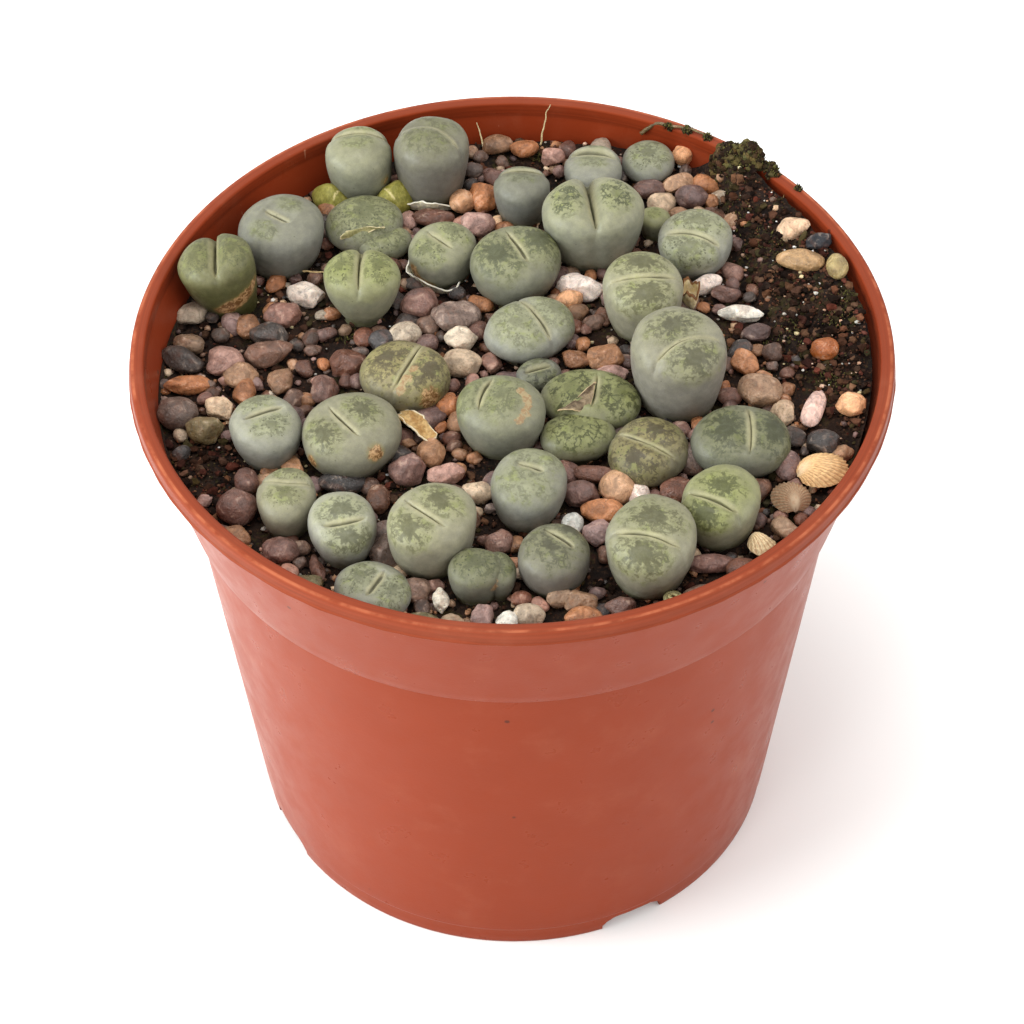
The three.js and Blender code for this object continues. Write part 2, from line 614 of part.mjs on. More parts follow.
// Small sea shells, hollow side down, with ribs that run out from the hinge.
const SHELLS = [
  { name: 'shell_1', x: 41.4, y: -21.2, length: 7.2, width: 6.2, height: 2.6, turn: 20, ribs: 9 },
  { name: 'shell_2', x: 37, y: -26, length: 5.6, width: 5.4, height: 2.4, turn: 100, ribs: 9 },
  { name: 'shell_3', x: 32.8, y: -34.5, length: 4.2, width: 3.5, height: 1.9, turn: -40, ribs: 7 },
];
const SHELL_LIFT = 0.7;
const SHELL_UNDER = 0.5;
const RIB_HEIGHT = 0.22;
const SHELL_STEPS = 4;
const SHELL_SPREAD = 158;
const HINGE_HEIGHT = 0.4;
const VAULT_PEAK = 0.6;
const VAULT_FULLNESS = 0.8;
const SOCKET_SIDES = 12;

function shellGeometry(shell) {
  const spread = radians(SHELL_SPREAD);
  const sectors = 2 * shell.ribs;
  const halfLength = shell.length / 2;
  const halfWidth = shell.width / 2;
  const positions = [];
  const faces = [];
  const add = (x, y, z) => positions.push(x, y, z) / 3 - 1;
  const hinge = add(-halfLength, 0, HINGE_HEIGHT);
  const rings = [];
  for (let step = 1; step <= SHELL_STEPS; step += 1) {
    const out = step / SHELL_STEPS;
    const ring = [];
    for (let i = 0; i <= sectors; i += 1) {
      const angle = spread * ((2 * i) / sectors - 1);
      const x = -halfLength + out * halfLength * (1 + Math.cos(angle));
      const y = out * halfWidth * Math.sin(angle);
      const vault = Math.max(Math.sin(Math.PI * out ** VAULT_PEAK), 0) ** VAULT_FULLNESS;
      const rib = i % 2 === 0 ? 0 : RIB_HEIGHT * out;
      const side = Math.cos(angle / 2);
      ring.push(add(x, y, shell.height * vault * side + rib));
    }
    rings.push(ring);
  }
  for (let i = 0; i < sectors; i += 1) {
    faces.push(hinge, rings[0][i], rings[0][i + 1]);
    for (let step = 0; step + 1 < SHELL_STEPS; step += 1) {
      const [a, b] = [rings[step][i], rings[step][i + 1]];
      const [c, d] = [rings[step + 1][i + 1], rings[step + 1][i]];
      faces.push(a, d, c, a, c, b);
    }
  }
  const under = add(0, 0, -SHELL_UNDER);
  const margin = rings[SHELL_STEPS - 1];
  for (let i = 0; i < sectors; i += 1) faces.push(under, margin[i + 1], margin[i]);
  const sideLoop = [hinge, ...rings.map((ring) => ring[0])];
  for (let i = 0; i + 1 < sideLoop.length; i += 1) faces.push(under, sideLoop[i + 1], sideLoop[i]);
  const farLoop = [hinge, ...rings.map((ring) => ring[sectors])];
  for (let i = 0; i + 1 < farLoop.length; i += 1) faces.push(under, farLoop[i], farLoop[i + 1]);
  const geometry = new THREE.BufferGeometry();
  geometry.setAttribute('position', new THREE.Float32BufferAttribute(positions, 3));
  geometry.setIndex(faces);
  geometry.rotateZ(radians(shell.turn));
  geometry.translate(shell.x, shell.y, ground(shell.x) + SHELL_LIFT);
  return geometry;
}

// The plain oval socket that a shell lies in.
function shellSocket(shell) {
  const socket = new THREE.CylinderGeometry(1, 1, SKY, SOCKET_SIDES);
  socket.rotateX(Math.PI / 2);
  socket.scale(shell.length / 2 + 2 * GAP, shell.width / 2 + 2 * GAP, 1);
  socket.rotateZ(radians(shell.turn));
  const bottom = ground(shell.x) + SHELL_LIFT - SHELL_UNDER - GAP;
  socket.translate(shell.x, shell.y, bottom + SKY / 2);
  return toSolid(socket);
}

// Old leaves: the pair that one plant has grown out of, two flat lobes joined under its foot.
const OLD_LEAVES = {
  lobes: [[-25.6, 36.6], [-17.4, 36.2]],
  length: 5,
  width: 3.6,
  height: 4.8,
  lift: 0.6,
  turn: 40,
  strapDepth: 2.3,
  strapForward: 1.2,
  strapSize: 1.6,
};
const OLD_LEAF_SHAPE = { facets: () => new THREE.IcosahedronGeometry(1.1, 0), uneven: 0.05 };

// Dried sheaths: a torn papery collar round the front of a plant's foot.
const COLLARS = [
  { name: 'dry_collar_1', plant: 4, height: 2.6, facing: -95, width: 8.5 },
  { name: 'dry_collar_2', plant: 7, height: 2.2, facing: -125, width: 7.5 },
];
const COLLAR_THICKNESS = 0.7;
const COLLAR_SINK = 0.6;
const COLLAR_SIDES = 16;
const COLLAR_START = 0.25;

// A curled scrap of dry leaf lies on the gravel, and an empty cup of old leaf stands in it.
const DRY_LEAF = {
  x: -13.2,
  y: -10.9,
  length: 5.6,
  width: 2.6,
  thickness: 0.8,
  turn: -48,
  lift: 2.6,
  taper: 1.2,
  curl: 0.16,
  droop: 0.048,
};
const DRY_CUP = { x: 25, y: 12.9, radius: 1.4, foot: 1, height: 3, wall: 0.7, floor: 1, sink: 0.4 };
const DRY_CUP_SIDES = 10;

function oldLeafLobe(index, grow) {
  const [x, y] = OLD_LEAVES.lobes[index];
  const lobe = {
    x,
    y,
    z: ground(x) + OLD_LEAVES.lift,
    length: OLD_LEAVES.length,
    width: OLD_LEAVES.width,
    height: OLD_LEAVES.height,
    turn: index === 0 ? -OLD_LEAVES.turn : OLD_LEAVES.turn,
  };
  return toSolid(stoneGeometry(lobe, OLD_LEAF_SHAPE, SEEDS.oldLeaf + index, grow));
}

// The strap under the ground that joins the two old lobes round the plant's front.
function oldLeafStrap(grow = 0) {
  const [[x0, y0], [x1, y1]] = OLD_LEAVES.lobes;
  const { strapDepth, strapForward, strapSize } = OLD_LEAVES;
  const strap = new THREE.BoxGeometry(x1 - x0 + 2 * grow, strapSize + 2 * grow, strapSize + 2 * grow);
  strap.rotateZ(Math.atan2(y1 - y0, x1 - x0));
  const middle = (x0 + x1) / 2;
  strap.translate(middle, (y0 + y1) / 2 - strapForward, ground(middle) - strapDepth);
  return toSolid(strap);
}

function oldLeafParts(grow = 0) {
  return [oldLeafLobe(0, grow), oldLeafLobe(1, grow), oldLeafStrap(grow)];
}

function makeOldLeaves(cutters) {
  const [left, right, strap] = oldLeafParts();
  const leaves = left.add(right).add(strap);
  return mainBody(cutters.reduce((rest, cutter) => rest.subtract(cutter), leaves));
}

// The side of a plant's foot that its collar covers, as a block.
function collarSide(collar, grow) {
  const plant = PLANTS[collar.plant - 1];
  const tall = collar.height + 2 * grow;
  const side = new THREE.BoxGeometry(2 * collar.width, collar.width + 2 * grow, tall);
  side.translate(collar.width + plant.across * COLLAR_START - grow, 0, collar.height / 2 - COLLAR_SINK);
  side.rotateZ(radians(collar.facing));
  side.translate(plant.x, plant.y, ground(plant.x));
  return toSolid(side);
}

// A collar is the space between two sleeves round its plant, on the side that it faces.
function makeCollar(collar) {
  const plant = PLANTS[collar.plant - 1];
  const inside = plantSleeve(plant, GAP, COLLAR_SIDES);
  const outside = plantSleeve(plant, GAP + COLLAR_THICKNESS, COLLAR_SIDES);
  return mainBody(outside.subtract(inside).intersect(collarSide(collar, 0)));
}

function collarRoom(collar) {
  const outside = plantSleeve(PLANTS[collar.plant - 1], 2 * GAP + COLLAR_THICKNESS, COLLAR_SIDES);
  return outside.intersect(collarSide(collar, GAP));
}

function dryLeafGeometry(grow = 0) {
  const { length, width, taper, curl, droop } = DRY_LEAF;
  const thickness = DRY_LEAF.thickness + 2 * grow;
  const leaf = new THREE.BoxGeometry(length + 2 * grow, width + 2 * grow, thickness, 6, 2, 1);
  const points = leaf.attributes.position;
  for (let i = 0; i < points.count; i += 1) {
    const [x, y, z] = [points.getX(i), points.getY(i), points.getZ(i)];
    const narrowed = y * (1 - taper * (x / length) ** 2);
    points.setXYZ(i, x, narrowed, z + curl * y * y - droop * x * x);
  }
  leaf.rotateZ(radians(DRY_LEAF.turn));
  leaf.translate(DRY_LEAF.x, DRY_LEAF.y, ground(DRY_LEAF.x) + DRY_LEAF.lift);
  return leaf;
}

function dryCupGeometry(grow = 0) {
  const { radius, foot, height, wall, floor } = DRY_CUP;
  const solidCup = [[0, -grow], [foot + grow, -grow], [radius + grow, height], [0, height + SKY]];
  const openCup = [
    [0, 0], [foot, 0], [radius, height], [radius - wall, height], [foot - wall, floor], [0, floor],
  ];
  const outline = grow > 0 ? solidCup : openCup;
  const points = outline.map(([r, z]) => new THREE.Vector2(r, z));
  const cup = new THREE.LatheGeometry(points, DRY_CUP_SIDES);
  cup.rotateX(Math.PI / 2);
  cup.translate(DRY_CUP.x, DRY_CUP.y, ground(DRY_CUP.x) - DRY_CUP.sink);
  return cup;
}

// ---------------------------------------------------------------- ground

// A closed prism over the gravel's outline, tilted with the ground.
function gravelPrism(bottom, height, outward) {
  const shape = new THREE.Shape();
  shape.moveTo(-OUTSIDE, OUTSIDE);
  shape.lineTo(-OUTSIDE, -OUTSIDE);
  shape.lineTo(OUTSIDE, -OUTSIDE);
  for (const [x, y] of [...GRAVEL_EDGE].reverse()) shape.lineTo(x + outward, y);
  const prism = new THREE.ExtrudeGeometry(shape, { depth: height, bevelEnabled: false });
  prism.translate(0, 0, bottom);
  prism.rotateY(-Math.atan(GROUND_SLOPE));
  prism.translate(0, 0, GROUND_AT_CENTRE);
  return toSolid(prism);
}

function soilTop(x, y) {
  const towards = x * Math.cos(radians(MOUND_ANGLE)) + y * Math.sin(radians(MOUND_ANGLE));
  const mound = MOUND_HEIGHT * smoothStep(MOUND_START, MOUND_END, towards);
  const fromHump = Math.hypot(x - HUMP.x, y - HUMP.y) / HUMP.reach;
  const hump = HUMP.height * Math.exp(-(fromHump ** 2));
  const lumps = SOIL_LUMPS * Math.sin(0.9 * x + 0.5 * y) * Math.sin(0.8 * y - 0.3 * x);
  return ground(x) + mound + hump + lumps - SOIL_BELOW_GRAVEL;
}

// A block with the soil's uneven top; its columns are closer together on the right.
function soilBlock() {
  const COLUMNS_ACROSS = 15;
  const ROWS_DEEP = 16;
  const DEPTH = 100;
  const CROWDING = 0.65;
  const span = 2 * OUTSIDE;
  const block = new THREE.BoxGeometry(span, span, DEPTH, COLUMNS_ACROSS, ROWS_DEEP, 1);
  const points = block.attributes.position;
  for (let i = 0; i < points.count; i += 1) {
    const share = points.getX(i) / span + 0.5;
    const x = span * (share ** CROWDING - 0.5);
    const y = points.getY(i);
    const z = points.getZ(i) > 0 ? soilTop(x, y) : 0;
    points.setXYZ(i, x, y, z);
  }
  return toSolid(block);
}

// Crumbs of soil on the bare side, a seeded scatter sunk to half their height.
const CRUMB_COUNT = 20;
const CRUMB_SMALLEST = 1.6;
const CRUMB_LARGEST = 3.4;
const CRUMB_WIDTH = 0.8;
const CRUMB_AREA = { x: 24, y: -18, wide: 24, deep: 64 };

function soilCrumbs() {
  const random = seeded(SEEDS.crumbPlaces);
  const crumbs = [];
  while (crumbs.length < CRUMB_COUNT) {
    const x = CRUMB_AREA.x + CRUMB_AREA.wide * random();
    const y = CRUMB_AREA.y + CRUMB_AREA.deep * random();
    const length = CRUMB_SMALLEST + (CRUMB_LARGEST - CRUMB_SMALLEST) * random();
    const turn = 180 * random();
    const onBareSoil = x > gravelEdgeAt(y) + length / 2 + GAP && Math.hypot(x, y) < GRAVEL_REACH;
    const width = CRUMB_WIDTH * length;
    const crumb = { x, y, z: soilTop(x, y), length, width, height: length, turn };
    if (onBareSoil && clearOf(crumb, [...LOOSE_STONES, ...SHELLS])) crumbs.push(crumb);
  }
  return crumbs.map((crumb, i) => toSolid(stoneGeometry(crumb, CRUMB_SHAPE, SEEDS.crumbs + i)));
}

function makeGravel(cutters) {
  const seen = seenGravel();
  const stones = [...seen, ...extraGravel([...standingSpots(), ...seen])];
  let gravel = gravelPrism(-BED_THICKNESS, BED_THICKNESS, 0);
  stones.forEach((stone, i) => {
    const height = GRAVEL_HEIGHT_SHARE * stone.width;
    const placed = { ...stone, height, z: ground(stone.x) + GRAVEL_SINK * height };
    gravel = gravel.add(toSolid(stoneGeometry(placed, GRAVEL_SHAPE, SEEDS.gravel + i)));
  });
  gravel = gravel.intersect(bowlSpace());
  gravel = gravel.intersect(gravelPrism(-BED_THICKNESS, OUTSIDE, 0));
  for (const cutter of cutters) gravel = gravel.subtract(cutter);
  return mainBody(gravel);
}

function makeSoil(cutters) {
  let soil = soilBlock();
  for (const crumb of soilCrumbs()) soil = soil.add(crumb);
  soil = soil.intersect(bowlSpace());
  soil = soil.subtract(gravelPrism(-BED_THICKNESS - GAP, OUTSIDE, GAP));
  for (const cutter of cutters) soil = soil.subtract(cutter);
  return mainBody(soil);
}

// ---------------------------------------------------------------- assembly

const COLOURS = {
  pot: 0xb2553c,
  soil: 0x2f211a,
  gravel: 0x8a6a58,
  plant: 0x8a9378,
  quartz: 0xe6ddd3,
  pebble: 0xb98a5c,
  charcoal: 0x2a2a2a,
  shell: 0xd9bd92,
  oldLeaf: 0x9aa24c,
  dryLeaf: 0xb79a6a,
};

function looseStone(stone, grow = 0) {
  const shape = stone.smooth ? PEBBLE_SHAPE : QUARTZ_SHAPE;
  const z = ground(stone.x) + STONE_LIFT + moundLift(stone);
  const seed = SEEDS.loose + Math.round(stone.length * 10);
  return toSolid(stoneGeometry({ ...stone, z }, shape, seed, grow));
}

// Pieces on the bare side sit on the soil, which lies above the gravel's level there.
function moundLift(piece) {
  return Math.max(soilTop(piece.x, piece.y) - ground(piece.x), 0);
}

function buildObject() {
  const group = new THREE.Group();
  const add = (name, geometry, colour, roughness) => {
    group.add(colouredMesh(name, geometry, colour, roughness));
  };
  const bodies = PLANTS.flatMap((plant) => (plant.more ? [plant, plant.more] : [plant]));
  const holes = bodies.map((plant) => plantSleeve(plant, GAP));
  const cutByPlants = (solid) => holes.reduce((rest, hole) => rest.subtract(hole), solid);

  const loose = LOOSE_STONES.map((stone) => mainBody(cutByPlants(looseStone(stone))));
  const collars = COLLARS.map(makeCollar);
  const collarRooms = COLLARS.map(collarRoom);
  const oldLeaves = makeOldLeaves([...holes, ...collarRooms]);
  const dryLeaf = cutByPlants(toSolid(dryLeafGeometry()));
  const dryCup = cutByPlants(toSolid(dryCupGeometry()));

  const cutters = [
    ...holes,
    ...LOOSE_STONES.map((stone) => looseStone(stone, GAP)),
    ...SHELLS.map(shellSocket),
    ...collarRooms,
    toSolid(dryLeafGeometry(GAP)),
    toSolid(dryCupGeometry(GAP)),
    ...oldLeafParts(GAP),
  ];

  add('pot', toGeometry(makePot()), COLOURS.pot, 0.5);
  add('soil', toGeometry(makeSoil(cutters)), COLOURS.soil, 0.95);
  add('gravel', toGeometry(makeGravel(cutters)), COLOURS.gravel, 0.8);
  PLANTS.forEach((plant, i) => {
    const name = `lithops_${String(i + 1).padStart(2, '0')}`;
    add(name, makePlant(plant), COLOURS.plant, 0.55);
  });
  LOOSE_STONES.forEach((stone, i) => {
    const kind = stone.name.split('_')[0];
    add(stone.name, toGeometry(loose[i]), COLOURS[kind], 0.7);
  });
  SHELLS.forEach((shell) => add(shell.name, shellGeometry(shell), COLOURS.shell, 0.6));
  COLLARS.forEach((collar, i) => {
    add(collar.name, toGeometry(collars[i]), COLOURS.dryLeaf, 0.8);
  });
  add('old_leaves', toGeometry(oldLeaves), COLOURS.oldLeaf, 0.6);
  add('dry_leaf', toGeometry(dryLeaf), COLOURS.dryLeaf, 0.85);
  add('dry_cup', toGeometry(dryCup), COLOURS.dryLeaf, 0.85);
  return group;
}

export default buildObject();
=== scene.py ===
import math

import bmesh
import bpy
import numpy as np
from mathutils import Matrix, Vector


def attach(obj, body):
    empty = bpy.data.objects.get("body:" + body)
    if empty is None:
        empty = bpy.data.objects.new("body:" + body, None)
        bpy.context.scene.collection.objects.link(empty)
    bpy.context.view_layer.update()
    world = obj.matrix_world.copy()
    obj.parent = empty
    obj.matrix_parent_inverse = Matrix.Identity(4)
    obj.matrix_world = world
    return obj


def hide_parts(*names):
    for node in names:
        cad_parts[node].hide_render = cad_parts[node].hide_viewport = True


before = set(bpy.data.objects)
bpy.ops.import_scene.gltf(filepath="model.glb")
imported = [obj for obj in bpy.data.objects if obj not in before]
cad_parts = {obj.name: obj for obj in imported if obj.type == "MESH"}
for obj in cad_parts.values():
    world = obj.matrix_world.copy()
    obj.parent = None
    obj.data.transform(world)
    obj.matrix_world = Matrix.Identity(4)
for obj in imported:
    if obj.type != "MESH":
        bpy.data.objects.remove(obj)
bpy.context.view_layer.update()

MM = 0.001

# ---- sizes shared with the solids

RIM_RADIUS = 52.5
POT_HEIGHT = 85.0
LIP_HEIGHT = 2.2
LIP_WIDTH = 2.1
BAND_TOP_RADIUS = 51.3
STEP_HEIGHT = 64.5
BAND_FOOT_RADIUS = 46.5
STEP_WIDTH = 0.9
FOOT_RADIUS = 37.6
WALL = 0.9
FOOT_RING_WIDTH = 2.7
FLOOR_LIFT = 3.0
FLOOR_THICKNESS = 1.2
ARCH_COUNT = 4
FIRST_ARCH_ANGLE = 27.0
ARCH_WIDTH = 9.6
ARCH_HEIGHT = 2.5
DRAIN_RADIUS = 3.6
DRAIN_CIRCLE = 28.0

GROUND_AT_CENTRE = 79.5
GROUND_SLOPE = 0.045
MOUND_HEIGHT = 2.5
MOUND_ANGLE = math.radians(28)
MOUND_START = 26.0
MOUND_END = 50.0
HUMP = (33.0, 37.0, 2.0, 9.0)
GRAVEL_EDGE = ((58, -26), (45, -13), (39, -3), (36, 9), (33, 21), (31, 34), (26, 45), (23, 60))
BARE_PATCH = (-41.0, -17.0, 6.5)

DOME_POWER = 2.4
PATCH = 0.8
CAP_SHARE = 0.62
ROOT_DEPTH = 3.6
ROOT_SHARE = 0.5
SADDLE_DEPTH = 0.55
CLEFT_IN_FRONT = 0.35

# Each body: x, y, half width across the slit, half width along it, height, slit direction,
# skin (colours), marks (pattern), reach of the marks on a lobe, and what else is its own:
# off and bow move and bend the slit, long and cleft set how far it runs and opens, step lifts
# one lobe, waist narrows the foot, lean and to tip the body (degrees), plain means no slit,
# and tone scales the colours.
PLANTS = (
    (-39.4, 17.0, 5.5, 4.8, 10.8, -86, "olive", "faint", 0.9,
     dict(off=-0.07, cleft=0.7, waist=0.62, lean=15, to=-170, tone=0.95)),
    (-32.7, 26.0, 6.5, 5.9, 8.3, -34, "slate", "thin", 0.42,
     dict(off=0.14, lean=3, to=70, long=0.52, tone=0.94)),
    (-21.8, 39.4, 4.9, 4.8, 9.4, -1, "sage", "thin", 0.6, dict(off=-0.45, tone=1.02)),
    (-11.4, 39.0, 5.7, 5.4, 10.6, -24, "lilac", "thin", 0.8,
     dict(off=0.02, bow=-0.9, waist=0.78, lean=4, to=80, step=0.9, tone=0.85)),
    (-21.0, 29.7, 4.9, 5.7, 4.8, 15, "sage", "dots", 0.95, dict(plain=True)),
    (-20.8, 13.7, 5.4, 4.8, 9.6, -92, "lime", "dots", 0.8,
     dict(off=0.07, cleft=0.4, waist=0.5)),
    (-9.7, 21.7, 5.2, 4.5, 6.5, -44, "sage", "dots", 0.7, dict(off=0.1, long=0.75, tone=1.06)),
    (0.6, 18.4, 6.5, 5.8, 7.6, -63, "sage", "feather", 0.95, dict(off=-0.05, long=0.78, tone=0.95)),
    (1.6, 33.0, 4.2, 4.1, 6.6, 0, "slate", "faint", 0.7,
     dict(off=-0.45, lean=7, to=90, tone=0.87)),
    (11.6, 24.6, 7.3, 6.0, 11.0, -84, "sage", "veins", 0.6,
     dict(off=0.05, cleft=1.2, waist=0.72, tone=1.04)),
    (11.8, 38.5, 4.5, 4.2, 5.0, -8, "slate", "faint", 0.6,
     dict(off=-0.35, lean=5, to=90, step=-0.9)),
    (19.9, 41.0, 4.0, 3.8, 3.6, 10, "slate", "dots", 0.8, dict(plain=True)),
    (26.0, 22.1, 5.6, 5.2, 6.4, -18, "slate", "dots", 0.95,
     dict(off=0.36, bow=-0.6, tone=1.08)),
    (18.2, 10.2, 6.2, 5.6, 9.2, 5, "light", "feather", 0.9, dict(off=0.13)),
    (22.6, -4.4, 7.0, 6.4, 12.0, 25, "lilac", "feather", 0.75,
     dict(off=0.4, bow=-1.1, step=0.8, waist=0.84)),
    (2.5, 6.7, 6.6, 5.4, 4.9, -60, "slate", "faint", 0.9, dict(off=-0.15, step=0.5, tone=1.05)),
    (-14.7, -2.4, 6.3, 5.7, 6.3, 66, "straw", "mottled", 1.0, dict(off=0.1, step=0.3)),
    (-33.4, -12.1, 5.4, 4.9, 6.9, 24, "slate", "dots", 0.65, dict(off=-0.1, long=0.8, tone=1.05)),
    (-21.7, -13.6, 7.0, 6.4, 7.4, -52, "light", "feather", 0.6, dict(off=0.2, long=0.72, tone=0.93)),
    (-30.2, -25.2, 5.0, 4.0, 6.0, -6, "light", "dots", 0.7,
     dict(off=-0.3, bow=0.5, step=0.3, tone=0.96)),
    (-22.6, -30.6, 5.2, 4.6, 6.8, 14, "slate", "feather", 0.85, dict(off=0.36, long=0.9, tone=1.12)),
    (-10.7, -32.5, 6.5, 5.6, 9.2, -42, "light", "feather", 0.75, dict(off=0.22, long=0.85)),
    (-18.5, -40.8, 5.2, 4.6, 4.2, 61, "slate", "dots", 0.75, dict(off=0.12, long=0.7)),
    (-1.5, -11.5, 6.1, 5.6, 8.2, 72, "sage", "faint", 0.85, dict(off=-0.42, long=0.8, tone=0.95)),
    (3.6, -1.5, 2.7, 3.2, 3.0, 20, "slate", "veins", 0.9, dict(long=0.86, tone=0.84)),
    (10.6, -7.6, 6.9, 5.2, 4.8, 81, "lime", "veins", 0.9, dict(off=0.1, long=0.8, tone=0.94)),
    (18.3, -17.8, 5.8, 5.3, 5.2, -33, "straw", "mottled", 1.0, dict(off=0.15, step=0.35, tone=0.91)),
    (30.6, -16.9, 6.8, 5.9, 5.8, -90, "sage", "feather", 0.95, dict(off=-0.2, long=1.0, tone=0.82)),
    (27.5, -29.6, 5.8, 5.1, 7.8, -30, "lime", "feather", 0.8, dict(off=0.5, bow=-0.5)),
    (18.0, -37.0, 6.9, 5.9, 9.4, -17, "light", "feather", 0.85,
     dict(off=0.4, bow=-0.6, tone=0.95)),
    (2.1, -25.0, 5.8, 5.1, 7.4, -20, "slate", "thin", 0.9, dict(off=-0.13, long=0.55)),
    (5.3, -37.4, 5.0, 4.7, 6.5, -40, "lilac", "mottled", 0.95,
     dict(off=-0.28, long=0.75, tone=0.84)),
    (-4.9, -39.2, 3.7, 3.5, 5.4, -86, "sage", "dots", 0.9, dict(plain=True, tone=0.84)),
    (20.4, 28.2, 2.3, 2.2, 3.4, 80, "lime", "faint", 0.5, dict(plain=True)),
)
# Three bodies have one more lobe, in the same growth.
MORE = {
    5: (-18.0, 26.2, 3.0, 3.9, 3.2, 15, "olive", "mottled", 0.9, dict(plain=True)),
    26: (8.8, -14.0, 3.9, 5.2, 4.0, 0, "lime", "veins", 0.9, dict(plain=True)),
    33: (-1.9, -38.9, 2.2, 2.9, 4.4, -86, "lime", "dots", 0.9, dict(plain=True)),
}

# ---- colours (sRGB, 0 to 255)

# Plant skin: round the marks, on the sides, and the marks themselves.
SKINS = {
    "light": ((138, 135, 110), (130, 127, 109), (82, 80, 54)),
    "lime": ((130, 130, 92), (122, 121, 100), (70, 72, 38)),
    "sage": ((127, 126, 101), (121, 121, 106), (72, 74, 50)),
    "slate": ((130, 129, 112), (123, 123, 114), (76, 76, 56)),
    "lilac": ((130, 127, 106), (124, 120, 110), (78, 76, 56)),
    "straw": ((134, 123, 90), (110, 105, 84), (66, 57, 40)),
    "olive": ((112, 110, 78), (86, 86, 52), (62, 62, 38)),
}
LIP_COLOUR = (164, 158, 124)
FOOT_COLOUR = (88, 84, 42)
FRESH_COLOUR = (122, 128, 70)

STONE_COLOURS = {
    "white": (228, 214, 194),
    "cream": (204, 176, 146),
    "peach": (198, 150, 112),
    "pink": (160, 124, 112),
    "orange": (160, 108, 72),
    "rust": (118, 78, 62),
    "tan": (152, 116, 88),
    "brown": (100, 72, 58),
    "mauve": (112, 84, 76),
    "taupe": (116, 94, 82),
    "olive": (104, 94, 66),
    "slate": (72, 64, 60),
}

# ---- stones: x, y, length, width, turn

STONES = {
    "mauve": (
        (-26, -2, 4.8, 4, 90), (-32, 13, 5.2, 3.8, 0), (-13, 14, 5.2, 5, 0), (-14, -18, 5.3, 5, 0),
        (-37, -24, 5.2, 5.2, 90), (-36, -19, 4, 3.2, 90), (-31, -32, 5, 4, 0), (30, 14, 4, 2.7, 0),
        (34, 6, 4.2, 2.5, 15), (20, 36, 4.5, 3.1, 0), (26, 34, 4.6, 3.7, 0), (37, -20, 4.8, 3.4, 75),
        (9, -24, 4.9, 4, 0), (26, -37, 6.5, 2.5, 5), (14, -44, 4.2, 3, 0)),
    "orange": (
        (-37, 11, 4, 3.5, 90), (-45, 0, 6.4, 2.8, 15), (-37, -2, 5.2, 3, 90), (2, 46, 4, 3, 0),
        (-9, -6, 4.2, 3.2, 90), (-4, 36, 4.8, 4, 90), (9, 2, 4.3, 2.8, 0), (13, 2, 5, 3.8, 15),
        (32, 0, 4.5, 3.3, 110), (12, -27, 5.8, 3.5, 0), (9, -46, 4.9, 3.4, 0)),
    "tan": (
        (-45, 8, 4.5, 3, -20), (-32, 0, 4.7, 3.5, 90), (-11, -15, 4.8, 3.8, 90), (-37, -29, 4, 3, -25),
        (-2, 47, 4.6, 3.2, 0), (34, -6, 6.3, 5, -25), (24, 37, 4.6, 3.2, 0), (9, -43, 4.6, 3.4, 0),
        (6, -42, 3.2, 3.1, 0)),
    "pink": (
        (-40, 4, 5.5, 4.5, -15), (-9, -19, 4.8, 3.1, 0), (6, 44, 3.6, 3, 0), (-5, 30, 5.2, 4.4, 0),
        (14, -1, 4.5, 2.8, 0), (11, -31, 4.5, 3.7, 75), (-2, -32, 3.8, 3.7, 0), (-4, -45, 3.7, 3, 75)),
    "cream": (
        (-40, -5, 4.2, 3.5, 0), (-15, 8, 4.6, 3.7, 0), (-7, 7, 4.6, 3.8, 0), (-7, 2, 5.3, 4, 0),
        (37, -10, 3.8, 3.6, 90), (-8, -46, 3, 2.7, 0), (2, -45, 4, 3.2, 0)),
    "brown": ((-34, 5, 7, 4.2, 0), (-18, -23, 4.8, 3.2, 90), (36, 2, 2.9, 2.7, 0)),
    "rust": (
        (-23, 3, 5.3, 4.2, 0), (-26, -35, 4.8, 1.9, 110), (-11, 32, 6.1, 3.1, 0), (22, -24, 5, 4, 20),
        (11, -20, 6.1, 2.8, 0), (30, -38, 4.2, 3, 15), (1, -42, 2.7, 2.4, 0)),
    "slate": (
        (-46, 5, 6.5, 3.5, -25), (-34, 9, 5.2, 3.7, 0), (-18, 7, 3.8, 3.4, 0), (-23, -20, 6.3, 3.4, 0),
        (42, -16, 4.5, 3.8, 0)),
    "taupe": (
        (-46, -6, 5.5, 5, 0), (-8, 11, 7, 5, 15), (-17, -33, 5.4, 4.6, 90), (24, -18, 5.2, 4.5, 0),
        (-13, -40, 4, 3.8, 0), (24, -42, 4.2, 2.3, 15)),
    "olive": ((-42, -9, 5.2, 4.2, 0), (-27, -38, 4, 2.8, 0), (-12, -45, 4.3, 2.3, 0)),
    "peach": (
        (-7, 35, 3.8, 3.7, 0), (-30, -16, 4.4, 2.5, -40), (8, 14, 4, 2.8, 0), (25, 43, 3.7, 3.3, 105),
        (14, -23, 5, 4.9, 25), (40, 27, 3.5, 3.4, 0), (49, 15, 2.4, 1.7, 90)),
    "white": ((8, -29, 3, 3, 0), (-1, -46, 3.4, 3, 90)),
}

